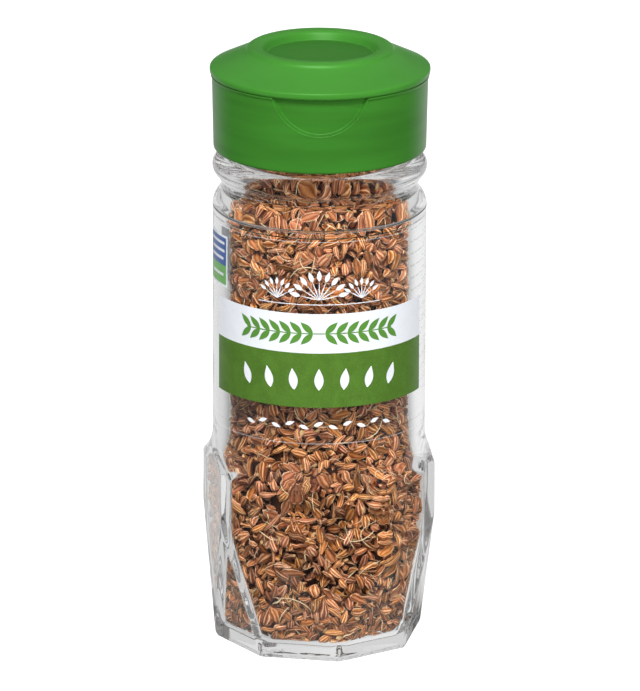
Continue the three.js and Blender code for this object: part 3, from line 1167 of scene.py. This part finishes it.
    def joined(self, name: str, batches: list[tuple[Array, dict[str, Array]]]) -> bpy.types.Object:
        """Joins many seeds into one piece, with a pole at both ends of each.

        Args:
            name: The piece's name.
            batches: Points shaped (seeds, rings, round, 3), each with its numbers by attribute name.

        Returns:
            The piece.
        """
        spots, faces, marks, first = [], [], {}, 0
        for points, values in batches:
            count = len(points)
            vertices, triangles = closed_round(points[0])
            shift = first + (np.arange(count) * len(vertices))[:, None, None]
            faces.append((triangles[None] + shift).reshape(-1, 3))
            spots.append(self.poled(points).reshape(-1, 3))
            for label, numbers in values.items():
                marks.setdefault(label, []).append(self.poled(numbers[..., None]).ravel())
            first += count * len(vertices)
        piece = make_piece(name, np.concatenate(spots), np.concatenate(faces))
        for label, numbers in marks.items():
            set_attribute(piece, label, np.concatenate(numbers))
        return piece

    @staticmethod
    def poled(rings: Array) -> Array:
        """Shrinks the first and last ring of each seed to one point: (seeds, points, numbers)."""
        count, depth = len(rings), rings.shape[-1]
        between = rings[:, 1:-1].reshape(count, -1, depth)
        return np.concatenate([rings[:, 0, :1], between, rings[:, -1, :1]], axis=1)

    def stalks(self, seeds: Settled) -> bpy.types.Object:
        """Hair-like stalks: four-sided tubes along an arc, lying on the seeds close to the glass.

        Args:
            seeds: Where all seeds lie.

        Returns:
            The piece.
        """
        rng = self.rng
        close = np.flatnonzero(seeds.depth < self.stalk_depth)
        chosen = rng.choice(close, self.stalk_count, replace=False)
        one = (len(chosen), 1)
        length = rng.gamma(2.6, 1.15, one).clip(1.2, 9.0) * MM
        thick = rng.uniform(0.07, 0.125, one) * MM
        curl = rng.normal(0.0, 0.75, one) * length
        heading = rng.uniform(0.0, np.pi, one)
        start = np.arctan2(seeds.middle[chosen, 1], seeds.middle[chosen, 0])[:, None]
        s = np.linspace(-0.5, 0.5, 8)[None, :]
        sag = curl * (s**2 - 0.1)
        level = seeds.middle[chosen, 2][:, None] + s * length * np.sin(heading) + sag * np.cos(heading)
        level = np.clip(level, self.form.floor + 1.0 * MM, 97.0 * MM)
        across = s * length * np.cos(heading) - sag * np.sin(heading)
        angle = start + across / self.form.inside(start + 0.0 * level, level)
        sunk = rng.uniform(0.10, 0.38, one) * MM + 0.9 * MM * np.abs(s) ** 1.5 * rng.uniform(-0.1, 1.3, one)
        far = self.form.inside(angle, level) - np.maximum(sunk, 0.09 * MM)
        line = about_axis(far, angle, level)
        run = np.gradient(line, axis=1)
        run /= np.linalg.norm(run, axis=-1, keepdims=True)
        out = np.stack([np.cos(angle), np.sin(angle), 0.0 * angle], axis=-1)
        side = np.cross(run, out)
        round_it = np.linspace(0.0, 2.0 * np.pi, 4, endpoint=False)[None, None, :, None]
        ring = np.cos(round_it) * side[:, :, None] + np.sin(round_it) * np.cross(side, run)[:, :, None]
        slim = (thick * (1.0 - 0.55 * np.abs(2.0 * s) ** 2))[..., None, None]
        points = line[:, :, None] + slim * ring
        points[:, 0], points[:, -1] = line[:, :1], line[:, -1:]
        return self.joined("seed_stalks", [(points, {})])

    def heart(self) -> bpy.types.Object:
        """The heap's dark heart, a bumpy solid behind the seeds, standing in for the shaded seeds deeper in;
        its near-black colour is painted shade.

        With angle a and height z in metres, its bumps follow sin(17a + 900z) sin(11a - 1300z) +
        sin(23a - 500z).

        Returns:
            The piece.
        """
        form = self.form
        angle = np.linspace(0.0, 2.0 * np.pi, 160, endpoint=False)[None, :]
        z = np.linspace(form.floor + 1.4 * MM, 96.3 * MM, 150)[:, None]
        crossed = np.sin(17.0 * angle + 900.0 * z) * np.sin(11.0 * angle - 1300.0 * z)
        bumps = crossed + np.sin(23.0 * angle - 500.0 * z)
        radius = form.inside(angle, z + 0.0 * angle) - 2.7 * MM + 0.2 * MM * bumps
        shares = np.array([0.0, 0.4, 0.8])[:, None]
        radius = np.concatenate([shares * radius[:1], radius, shares[::-1] * radius[-1:]])
        height = np.concatenate([np.repeat(z[:1], 3, axis=0), z, np.repeat(z[-1:], 3, axis=0)])
        return make_piece("seed_heart", *closed_round(about_axis(radius, angle, height)))

    def kinds(self) -> dict[SeedKind, tuple[SeedForm, DrySeed]]:
        """Each kind's proportions and skin."""
        brown = DrySeed(
            "skin_brown", furrow=(0.15, 0.035, 0.010), skin=(0.40, 0.137, 0.058), ridge=(0.96, 0.60, 0.36)
        )
        orange = DrySeed(
            "skin_orange", furrow=(0.30, 0.082, 0.020), skin=(0.67, 0.278, 0.116), ridge=(1.0, 0.72, 0.46)
        )
        opened = DrySeed(
            "skin_open", furrow=(0.21, 0.052, 0.014), skin=(0.52, 0.196, 0.084), ridge=(1.0, 0.76, 0.50)
        )
        entire = DrySeed(
            "skin_whole", furrow=(0.24, 0.064, 0.019), skin=(0.49, 0.184, 0.080), ridge=(0.92, 0.58, 0.34)
        )
        curved = SeedForm(0.21, length=(1.0, 1.3), width=(0.66, 0.9), bend=(0.10, 0.22), turned_in=0.3)
        small = SeedForm(
            0.07, length=(0.66, 0.9), width=(0.85, 1.05), thick=(0.85, 1.0),
            bend=(0.0, 0.03), tip=(0.42, 0.6), lines=(0.2, 0.7), whole=True,
        )
        hollowed = SeedForm(
            0.31, width=(0.92, 1.12), thick=(0.6, 0.8), lines=(0.8, 1.0), hollow=0.45, turned_in=0.94
        )
        return {
            SeedKind.TAN: (SeedForm(0.20), DrySeed("skin_tan")),
            SeedKind.BROWN: (SeedForm(0.21, tip=(0.65, 0.95)), brown),
            SeedKind.CURVED: (curved, orange),
            SeedKind.OPEN: (hollowed, opened),
            SeedKind.WHOLE: (small, entire),
        }

    def chaff(self, seeds: Settled) -> bpy.types.Object:
        """Small pale flakes among the seeds: thin halves about a third of a seed long.

        Args:
            seeds: Where all seeds lie.

        Returns:
            The piece.
        """
        close = np.flatnonzero(seeds.depth < self.flake_depth)
        chosen = self.rng.choice(close, self.flake_count, replace=False)
        flake = SeedForm(1.0, length=(0.22, 0.5), width=(0.22, 0.5), thick=(0.3, 0.6), tip=(0.4, 0.9))
        local, _ = self.surfaces(seeds, chosen, flake, False)
        drift = self.rng.normal(size=(len(chosen), 3)) * self.flake_drift
        along = np.roll(seeds.along[chosen], 7, axis=0)
        spots = Settled(seeds.middle[chosen] + drift, along, seeds.length, seeds.width, seeds.depth)
        return self.joined("seed_chaff", [(self.place(local, spots, np.arange(len(chosen)), 0.5), {})])

    def build(self) -> None:
        """Makes and dresses every piece of the heap."""
        seeds = SeedPacking(self.form).settle()
        near = seeds.depth < self.shown
        LOG.info("seeds at rest: %d, close to the glass: %d", len(near), near.sum())
        draw, low = self.rng.uniform(size=len(seeds.depth)), 0.0
        for kind, (shape, skin) in self.kinds().items():
            batches = []
            for fine in (True, False):
                chosen = np.flatnonzero((draw >= low) & (draw < low + shape.share) & (near == fine))
                local, marks = self.surfaces(seeds, chosen, shape, fine)
                batches.append((self.place(local, seeds, chosen, shape.turned_in), marks))
            low += shape.share
            dress(self.joined(kind.value, batches), skin.build(), "seed_heap", "seed_heap")
        pale = Straw("stalk_straw", (0.92, 0.72, 0.46), spread=0.08)
        dress(self.stalks(seeds), pale.build(), "seed_heap", "seed_heap")
        dress(self.chaff(seeds), Straw("chaff_straw", (0.68, 0.42, 0.20)).build(), "seed_heap", "seed_heap")
        # The heart's near-black colour is painted shade for the depths of the heap.
        dress(self.heart(), Straw("seed_shadow", (0.060, 0.016, 0.005)).build(), "seed_heap", "seed_heap")


# --------------------------------------------------------------------------- the label


@dataclass
class FilmLabel:
    """The clear film round the body with its printed bands, ornaments and side panel."""

    body: float = 19.95 * MM
    film_low: float = 43.0 * MM
    film_high: float = 82.0 * MM
    film_reach: float = math.radians(150.0)
    band_low: float = 50.1 * MM
    band_middle: float = 60.6 * MM
    band_high: float = 68.2 * MM
    band_reach: float = math.radians(68.5)
    film_out: float = 0.06 * MM
    band_out: float = 0.10 * MM
    print_out: float = 0.14 * MM

    def wrapped(self, across: Array, z: Array, out: float) -> Array:
        """Lays flat print on the jar: an arc length across becomes an angle from the front.

        Args:
            across: Distance to the right of the front's middle line.
            z: Heights.
            out: How far outside the glass.

        Returns:
            Points, shaped like across with 3 more.
        """
        radius = self.body + out
        angle = FRONT + across / self.body
        return about_axis(radius, angle, z)

    def field(
        self, name: str, left: float, right: float, low: float, high: float, out: float
    ) -> bpy.types.Object:
        """One plain field of the label, as a sheet that follows the glass, with a map from 0 to 1.

        Args:
            name: The piece's name.
            left: Its left edge, as a distance from the front's middle line.
            right: Its right edge.
            low: Its lower edge's height.
            high: Its upper edge's height.
            out: How far outside the glass it lies.

        Returns:
            The piece.
        """
        columns, rows = max(2, round(abs(right - left) / (0.35 * MM))), 2
        across, z = np.meshgrid(np.linspace(left, right, columns), np.linspace(low, high, rows))
        points = self.wrapped(across, z, out)
        piece = make_piece(name, points.reshape(-1, 3), grid_triangles(rows, columns, False))
        uv = np.stack([(across - left) / (right - left), (z - low) / (high - low)], axis=-1)
        set_uv(piece, uv.reshape(-1, 2))
        return piece

    def leaf(self, across: float, z: float, turn: float, length: float, width: float) -> tuple[Array, Array]:
        """A pointed oval: half its width follows a sine along it, and both ends are points.

        Args:
            across: Where its stem end lies, from the front's middle line.
            z: The stem end's height.
            turn: Its direction, from the right towards up.
            length: From point to point.
            width: At the widest.

        Returns:
            Flat points (across, z) and triangles.
        """
        t, s = np.meshgrid(np.linspace(0.0, 1.0, 12), np.array([-1.0, 0.0, 1.0]), indexing="ij")
        half = 0.5 * width * np.sin(np.pi * np.power(t, 0.85)) * s
        along = t * length
        flat = np.stack([
            across + along * math.cos(turn) - half * math.sin(turn),
            z + along * math.sin(turn) + half * math.cos(turn),
        ], axis=-1)
        return flat.reshape(-1, 2), grid_triangles(12, 3, False)[:, ::-1]

    def bar(self, left: float, right: float, low: float, high: float) -> tuple[Array, Array]:
        """A plain bar.

        Args:
            left: Its left end, from the front's middle line.
            right: Its right end.
            low: Its lower edge's height.
            high: Its upper edge's height.

        Returns:
            Flat points (across, z) and triangles.
        """
        columns = max(2, round((right - left) / (0.4 * MM)))
        across, z = np.meshgrid(np.linspace(left, right, columns), np.array([low, high]))
        return np.stack([across, z], axis=-1).reshape(-1, 2), grid_triangles(2, columns, False)

    def printed(self, name: str, shapes: list[tuple[Array, Array]], out: float) -> bpy.types.Object:
        """Joins flat shapes into one piece that lies on the jar.

        Args:
            name: The piece's name.
            shapes: Flat points and triangles of each shape.
            out: How far outside the glass they lie.

        Returns:
            The piece.
        """
        points, triangles, count = [], [], 0
        for flat, faces in shapes:
            points.append(self.wrapped(flat[:, 0], flat[:, 1], out))
            triangles.append(faces + count)
            count += len(flat)
        return make_piece(name, np.concatenate(points), np.concatenate(triangles))

    def vine(self, z: float, reach: float, height: float, pairs: int) -> list[tuple[Array, Array]]:
        """A plain border of leaf pairs along a thin stem, the same to the left and the right.

        Args:
            z: The stem's height.
            reach: How far it goes to either side.
            height: Of the border.
            pairs: Leaf pairs to either side.

        Returns:
            The flat shapes.
        """
        shapes = [self.bar(-reach, reach, z - 0.10 * MM, z + 0.10 * MM)]
        for side in (-1.0, 1.0):
            for i in range(pairs):
                across = side * reach * (i + 0.55) / pairs
                for up in (-1.0, 1.0):
                    turn = math.atan2(up * 0.95, side)
                    shapes.append(self.leaf(across, z, turn, height * 0.72, height * 0.27))
        return shapes

    def umbel(self, z: float, height: float, rays: int) -> list[tuple[Array, Array]]:
        """A flower head of thin rays from one point, each ending in a small pointed oval.

        Args:
            z: The point's height.
            height: Of the middle ray.
            rays: How many there are.

        Returns:
            The flat shapes.
        """
        shapes = []
        for i in range(rays):
            turn = math.pi / 2 + (i - (rays - 1) / 2) * 0.34
            shapes.append(self.leaf(0.0, z, turn, height * 0.66, 0.20 * MM))
            tip_across, tip_z = height * 0.62 * math.cos(turn), z + height * 0.62 * math.sin(turn)
            shapes.append(self.leaf(tip_across, tip_z, turn, height * 0.36, height * 0.15))
        return shapes

    def ornaments(self) -> dict[str, tuple[list[tuple[Array, Array]], Ink]]:
        """The plain ornaments above, on and below the bands.

        Returns:
            Each piece's flat shapes and ink, by its name.
        """
        white_z = 0.5 * (self.band_middle + self.band_high)
        green_z = 0.5 * (self.band_low + self.band_middle)
        rule = self.bar(-11.8 * MM, 11.8 * MM, 69.9 * MM, 69.9 * MM + 0.16 * MM)
        crown = self.umbel(70.9 * MM, 5.8 * MM, 9) + [rule]
        for side in (-1.0, 1.0):
            small = self.umbel(70.9 * MM, 4.1 * MM, 7)
            crown.extend([(flat + (side * 8.0 * MM, 0.0), faces) for flat, faces in small])
        seeds = [
            self.leaf(4.6 * MM * i, green_z - 1.9 * MM, math.pi / 2 - 0.10 * i, 4.2 * MM, 1.7 * MM)
            for i in range(-3, 4)
        ]
        foot = [
            self.leaf(2.7 * MM * i - 0.9 * MM, 46.6 * MM, 0.35 * (-1) ** i, 1.9 * MM, 0.75 * MM)
            for i in range(-5, 6)
        ]
        return {
            "print_crown": (crown, Ink.WHITE),
            "print_vine": (self.vine(white_z, 14.5 * MM, 4.4 * MM, 7), Ink.LEAF),
            "print_seed_row": (seeds, Ink.WHITE),
            "print_foot_row": (foot, Ink.WHITE),
        }

    def side_panel(self) -> None:
        """The small framed panel at the left: a blue field over a green one, with plain white bars."""
        left, right, low, high = -28.6 * MM, -20.3 * MM, 70.3 * MM, 80.2 * MM
        frame, split = 0.45 * MM, 74.4 * MM
        within = (left + frame, right - frame)
        fields = (
            ("panel_frame", left, right, low, high, self.band_out, Ink.WHITE),
            ("panel_blue", *within, split, high - frame, self.print_out, Ink.BLUE),
            ("panel_green", *within, low + frame, split, self.print_out, Ink.PANEL_GREEN),
        )
        for name, *place, ink in fields:
            dress(self.field(name, *place), Printed(ink).build(), "label_film")
        rows = ((78.4, 1.0, 1.0), (76.9, 1.3, 1.0), (75.4, 1.0, 1.4), (72.3, 1.8, 1.4))
        bars = [self.bar(left + a * MM, right - b * MM, z * MM, (z + 0.55) * MM) for z, a, b in rows]
        lines = self.printed("panel_lines", bars, self.print_out + 0.02 * MM)
        dress(lines, Printed(Ink.WHITE, 0.05, cover=0.9).build(), "label_film")

    def small_print(self) -> list[tuple[Array, Array]]:
        """Rows of short faint bars at the right of the label, their lengths by chance.

        Returns:
            The flat shapes.
        """
        rng = np.random.default_rng(11)
        shapes = []
        for row in range(14):
            z = (80.0 - 2.35 * row) * MM
            across = 25.5 * MM
            while across < 40.0 * MM:
                length = rng.uniform(0.8, 3.2) * MM
                shapes.append(self.bar(across, across + length, z, z + 0.34 * MM))
                across += length + 0.5 * MM
        return shapes

    def build(self) -> None:
        """Makes and dresses the film, its bands and its print."""
        reach = self.film_reach * self.body
        film = self.field("label_clear", -reach, reach, self.film_low, self.film_high, self.film_out)
        dress(film, ClearFilm().build(), "label_film", "label_film")
        wide = self.band_reach * self.body
        white = self.field("band_white", -wide, wide, self.band_middle, self.band_high, self.band_out)
        dress(white, Printed(Ink.WHITE, 0.03).build(), "label_white_band", "label_white_band")
        green = self.field("band_green", -wide, wide, self.band_low, self.band_middle, self.band_out)
        dress(green, Printed(Ink.GREEN, 0.16).build(), "label_green_band", "label_green_band")
        for name, (shapes, ink) in self.ornaments().items():
            dress(self.printed(name, shapes, self.print_out), Printed(ink, 0.04).build(), "label_film")
        self.side_panel()
        faint = Printed(Ink.WHITE, 0.04, cover=0.3)
        dress(self.printed("print_small", self.small_print(), self.print_out), faint.build(), "label_film")


# --------------------------------------------------------------------------- the cap


@dataclass
class FlipCap:
    """The green cap: a skirt with a thumb notch, and a lid with a rim, a ring and a recess."""

    low: float = 94.85 * MM
    top: float = 109.0 * MM
    low_radius: float = 19.8 * MM
    top_radius: float = 20.1 * MM
    wall: float = 1.8 * MM
    deck: float = 1.4 * MM
    notch_radius: float = 9.1 * MM
    notch_z: float = 111.2 * MM
    notch_depth: float = 1.05 * MM
    notch_edge: float = 0.24 * MM
    lip: float = 0.20 * MM
    notch_lip: float = 0.16 * MM
    lid_low: float = 109.3 * MM
    lid_radius: float = 20.5 * MM
    rim: float = 1.15 * MM
    crest: float = 114.3 * MM
    dish_radius: float = 9.9 * MM
    dish_over: float = 111.0 * MM
    columns: int = 640

    def skirt(self) -> bpy.types.Object:
        """The skirt: an upright wall with a small lip on top and a notch sunk inside a circle at the front.

        The notch's edge has a fine raised line, whose height falls off as exp(-(d / w)^2). There d is the
        distance from the circle and w is 0.6 of the edge's width.

        Returns:
            The piece.
        """
        front_share = np.linspace(-1.0, 1.0, self.columns, endpoint=False)
        angle = FRONT + np.pi * (0.42 * front_share + 0.58 * front_share**3)
        heights = np.concatenate([
            self.low + np.array([0.0, 0.04, 0.14, 0.32, 0.6]) * MM,
            np.linspace(self.low + 1.4 * MM, 101.2 * MM, 6),
            np.linspace(101.5 * MM, self.top - 0.05 * MM, 66),
        ])[:, None]
        edge = np.clip(1.0 - (heights - self.low) / (0.5 * MM), 0.0, 1.0)
        rounded = 0.45 * MM * (1.0 - np.sqrt(1.0 - edge**2))
        lean = (heights - self.low) / (self.top - self.low)
        wall = self.low_radius + (self.top_radius - self.low_radius) * lean - rounded
        x = wall * np.cos(angle)
        inside = self.notch_radius - np.hypot(x, heights - self.notch_z)
        faces_front = np.sin(angle) < 0.0
        sunk = smooth_step(inside, -0.5 * self.notch_edge, 0.5 * self.notch_edge) * faces_front
        line = np.exp(-((inside / (0.6 * self.notch_edge)) ** 2)) * faces_front
        lip = self.lip * smooth_step(heights, self.top - 0.6 * MM, self.top - 0.3 * MM)
        radius = wall - self.notch_depth * sunk + self.notch_lip * line + lip
        bore = self.low_radius - self.wall
        whole = np.ones_like(angle)[None, :]
        ceiling = self.top - self.deck
        path_in = np.array([
            (0.0, ceiling),
            (0.5 * bore, ceiling),
            (bore - 0.3 * MM, ceiling),
            (bore, ceiling - 0.3 * MM),
            (bore, self.low + 0.25 * MM),
            (bore + 0.25 * MM, self.low),
            (self.low_radius - 0.75 * MM, self.low),
        ])
        shares = np.array([0.985, 0.7, 0.35, 0.0])[:, None]
        all_r = np.concatenate([path_in[:, :1] * whole, radius, shares * radius[-1:]])
        tops = self.top * np.ones_like(shares)
        all_z = np.concatenate([path_in[:, 1:], heights, tops])
        return make_piece("cap_skirt_fine", *closed_round(about_axis(all_r, angle, all_z)))

    def lid(self) -> bpy.types.Object:
        """The lid, turned: a rounded rim, a sloping deck, a soft raised ring and a shallow recess, marked so
        that its material paints it darker as shade and makes it duller.

        Returns:
            The piece.
        """
        rim_top = self.lid_low + self.rim
        edge = 0.42 * MM
        rounding = np.radians(np.linspace(-6.0, 68.0, 9))
        rim_edge = np.stack([
            self.lid_radius - edge + edge * np.cos(rounding),
            rim_top - edge + edge * np.sin(rounding),
        ], axis=-1)
        crown = smooth_path(np.array([
            (19.6 * MM, 110.72 * MM),
            (16.6 * MM, 112.12 * MM),
            (14.5 * MM, 113.1 * MM),
            (13.85 * MM, 113.48 * MM),
            (13.45 * MM, 113.96 * MM),
            (12.6 * MM, self.crest),
            (11.4 * MM, 114.22 * MM),
            (10.65 * MM, 113.85 * MM),
            (10.25 * MM, 113.1 * MM),
            (10.0 * MM, 112.62 * MM),
            (9.5 * MM, 112.5 * MM),
            (8.8 * MM, 112.5 * MM),
        ]), 90)
        profile = np.concatenate([
            np.array([(0.0, 109.3), (10.0, 109.3), (19.9, 109.3), (19.98, 109.08)]) * MM,
            np.array([(20.14, 109.05), (20.36, 109.2), (20.46, 109.4), (20.5, 109.65)]) * MM,
            rim_edge[1:],
            crown,
            np.array([(5.0, 112.5), (0.0, 112.5)]) * MM,
        ])
        angle = np.linspace(0.0, 2.0 * np.pi, 256, endpoint=False)[None, :]
        vertices, triangles = closed_round(about_axis(profile[:, :1], angle, profile[:, 1:]))
        piece = make_piece("cap_lid_fine", vertices, triangles)
        # The recess floor's mark, read by the material: painted shade and a duller finish.
        reach = np.hypot(vertices[:, 0], vertices[:, 1])
        in_dish = (reach < self.dish_radius) & (vertices[:, 2] > self.dish_over)
        set_attribute(piece, "recess_shade_and_matte", in_dish.astype(float))
        return piece

    def build(self) -> None:
        """Makes and dresses the skirt and the lid."""
        # One plastic: the skirt's green is the lid's green painted darker as shade on the upright wall.
        skirt_green_painted_shade = Moulded("skirt_green_painted_shade", (0.034, 0.172, 0.016), (0.028, 0.140, 0.013))
        lid_green = Moulded("lid_green", (0.046, 0.220, 0.024), (0.041, 0.198, 0.021))
        dress(self.skirt(), skirt_green_painted_shade.build(), "cap_skirt", "cap_skirt")
        dress(self.lid(), lid_green.build(), "cap_lid", "cap_lid")


# --------------------------------------------------------------------------- the studio


@dataclass(frozen=True)
class SoftLamp:
    """A square soft light: its name, place, side in metres and power in watts."""

    name: str
    place: tuple[float, float, float]
    size: float
    power: float


@dataclass
class Studio:
    """A pale floor and surround, soft lamps at the front, both sides and the back, and the camera."""

    target: tuple[float, float, float] = (0.17 * MM, 0.0, 56.06 * MM)
    distance: float = 1.5258
    elevation: float = math.radians(16.945)
    roll: float = math.radians(0.211)
    focal_share: float = 8143.0 / 691.0
    sensor: float = 36.0
    left: float = 0.66
    right: float = 0.86
    bounce: float = 0.45
    box_way: tuple[float, float, float] = (-0.08, -0.63, 0.77)
    box_level: float = 6.5
    bounces: int = 64
    glass_bounces: int = 56
    clear_bounces: int = 32
    lamps: tuple[SoftLamp, ...] = (
        SoftLamp("lamp_key", (-0.12, -0.92, 1.12), 0.45, 20.0),
        SoftLamp("lamp_left", (-1.05, -1.00, 0.35), 0.5, 8.0),
        SoftLamp("lamp_right", (1.00, -1.05, 0.30), 0.6, 13.0),
        SoftLamp("lamp_back", (0.35, 1.25, 0.40), 0.6, 10.0),
    )

    def camera(self) -> None:
        """The camera: a long lens that looks down on the jar's front."""
        data = bpy.data.cameras.new("camera")
        data.sensor_width = self.sensor
        data.lens = self.sensor * self.focal_share
        data.clip_start, data.clip_end = 0.1, 30.0
        camera = bpy.data.objects.new("camera", data)
        bpy.context.scene.collection.objects.link(camera)
        away = np.array([0.0, -math.cos(self.elevation), math.sin(self.elevation)])
        camera.location = np.array(self.target) + self.distance * away
        turned = Matrix.Rotation(math.pi / 2 - self.elevation, 3, "X") @ Matrix.Rotation(self.roll, 3, "Z")
        camera.rotation_euler = turned.to_euler()
        bpy.context.scene.camera = camera

    def floor(self) -> None:
        """A pale floor that glows: white to the camera, and to the glass bright behind and close to the jar.

        What is close to the jar doesn't show in mirror reflections.
        """
        half = 4.0
        across, along = np.meshgrid(np.linspace(-half, half, 9), np.linspace(-half, half, 9))
        points = np.stack([across, along, np.full_like(across, -0.02 * MM)], axis=-1).reshape(-1, 3)
        piece = make_piece("floor", points, grid_triangles(9, 9, False), smooth=False)
        material, sheet = new_material("floor_paper")
        seen = sheet.add("ShaderNodeLightPath").outputs["Is Camera Ray"]
        place = sheet.add("ShaderNodeTexCoord").outputs["Object"]
        way = sheet.add("ShaderNodeVectorMath", operation="NORMALIZE", _0=place).outputs[0]
        parts = sheet.add("ShaderNodeSeparateXYZ", Vector=way).outputs
        reach = sheet.add("ShaderNodeVectorMath", operation="LENGTH", _0=place).outputs["Value"]
        under = sheet.ramp(reach, 50.0 * MM, 36.0 * MM)
        rearward = sheet.ramp(parts["Y"], -0.1, 0.3)
        near = sheet.math("MULTIPLY", sheet.ramp(reach, 75.0 * MM, 55.0 * MM), rearward)
        beside = sheet.math("MULTIPLY", sheet.ramp(sheet.math("ABSOLUTE", parts["X"]), 0.75, 0.97), 0.28)
        mirrored = sheet.add("ShaderNodeLightPath").outputs["Is Reflection Ray"]
        close = sheet.math("MAXIMUM", sheet.math("MAXIMUM", under, near), beside)
        around = sheet.math("MULTIPLY", close, sheet.math("SUBTRACT", 1.0, mirrored))
        behind = sheet.math("MAXIMUM", sheet.ramp(parts["Y"], 0.30, 0.80), around)
        rightward = sheet.ramp(parts["X"], -0.6, 0.6)
        sided = sheet.math("MULTIPLY_ADD", rightward, self.right - self.left, self.left)
        seen_by_glass = sheet.math("MULTIPLY_ADD", behind, sided, 0.008)
        bounced = sheet.add("ShaderNodeLightPath").outputs["Is Diffuse Ray"]
        level = sheet.add("ShaderNodeMix", _0=bounced, _2=seen_by_glass, _3=self.bounce).outputs[0]
        paper = sheet.math("MULTIPLY_ADD", SurfaceGrain.place(sheet, 3.0, 40.0, 0.2)["Tone"], 0.02, 0.35)
        tone = sheet.add("ShaderNodeMix", _0=seen, _2=0.015, _3=paper).outputs[0]
        glow = sheet.add("ShaderNodeMix", _0=seen, _2=level, _3=0.85).outputs[0]
        surface = sheet.add(
            "ShaderNodeBsdfPrincipled",
            Base_Color=sheet.add("ShaderNodeCombineColor", _0=tone, _1=tone, _2=tone).outputs[0],
            Emission_Color=sheet.add("ShaderNodeCombineColor", _0=glow, _1=glow, _2=glow).outputs[0],
            Roughness=0.9,
        )
        surface.inputs["Emission Strength"].default_value = 1.0
        sheet.add("ShaderNodeOutputMaterial", Surface=surface.outputs[0])
        piece.data.materials.append(material)

    def lamp(self, soft: SoftLamp) -> None:
        """Sets up one lamp, which faces the jar and shows neither in gloss nor through glass.

        Args:
            soft: The lamp.
        """
        data = bpy.data.lights.new(soft.name, "AREA")
        data.shape, data.size, data.energy = "SQUARE", soft.size, soft.power
        lamp = bpy.data.objects.new(soft.name, data)
        lamp.location = soft.place
        lamp.visible_glossy = lamp.visible_transmission = False
        aim = np.array(soft.place) - np.array((0.0, 0.0, 0.06))
        flat = math.hypot(aim[0], aim[1])
        lamp.rotation_euler = (math.atan2(flat, aim[2]), 0.0, math.atan2(aim[1], aim[0]) + math.pi / 2)
        bpy.context.scene.collection.objects.link(lamp)

    def world(self) -> None:
        """A surround that is white to the camera, pale through glass and dim in its reflections.

        Satin surfaces, whose gloss is not a sharp mirror, also see a soft box above the camera in it.
        """
        world = bpy.data.worlds.new("surround")
        world.use_nodes = True
        sheet = NodeSheet(world.node_tree)
        way = sheet.add("ShaderNodeTexCoord").outputs["Generated"]
        parts = sheet.add("ShaderNodeSeparateXYZ", Vector=way).outputs
        path = sheet.add("ShaderNodeLightPath").outputs
        above = sheet.math("MULTIPLY_ADD", sheet.ramp(parts["Z"], 0.0, 0.9), 0.25, 0.12)
        back = sheet.ramp(parts["Y"], 0.0, 0.8)
        soft = sheet.math("MULTIPLY_ADD", back, 0.35, above)
        through = sheet.math("MULTIPLY_ADD", back, 0.60, 0.32)
        facing = sheet.add("ShaderNodeVectorMath", operation="DOT_PRODUCT", _0=way, _1=self.box_way)
        box = sheet.ramp(facing.outputs["Value"], 0.90, 0.96)
        satin = sheet.math("SUBTRACT", 1.0, path["Is Singular Ray"])
        shine = sheet.math("MULTIPLY", sheet.math("MULTIPLY", box, self.box_level), satin)
        gloss = sheet.math("ADD", above, shine)
        bounced = sheet.add("ShaderNodeMix", _0=path["Is Glossy Ray"], _2=soft, _3=gloss).outputs[0]
        level = sheet.add("ShaderNodeMix", _0=path["Is Transmission Ray"], _2=bounced, _3=through).outputs[0]
        strength = sheet.add("ShaderNodeMix", _0=path["Is Camera Ray"], _2=level, _3=1.0).outputs[0]
        light = sheet.add("ShaderNodeBackground", Strength=strength)
        sheet.add("ShaderNodeOutputWorld", Surface=light.outputs[0])
        bpy.context.scene.world = world

    def build(self) -> None:
        """Sets up the whole studio."""
        scene = bpy.context.scene
        scene.view_settings.view_transform = "Standard"
        scene.cycles.max_bounces = self.bounces
        scene.cycles.transmission_bounces = self.glass_bounces
        scene.cycles.glossy_bounces = self.glass_bounces
        scene.cycles.transparent_max_bounces = self.clear_bounces
        scene.cycles.caustics_reflective = False
        scene.cycles.caustics_refractive = False
        self.camera()
        self.floor()
        for soft in self.lamps:
            self.lamp(soft)
        self.world()


def main() -> None:
    """Builds the dressed jar in its studio."""
    logging.basicConfig(level=logging.INFO, format="%(name)s %(message)s")
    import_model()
    Studio().build()
    form = JarForm()
    GlassJar(form).build()
    AniseSeeds(form).build()
    FilmLabel(form.body).build()
    FlipCap().build()


if __name__ == "__main__":
    main()
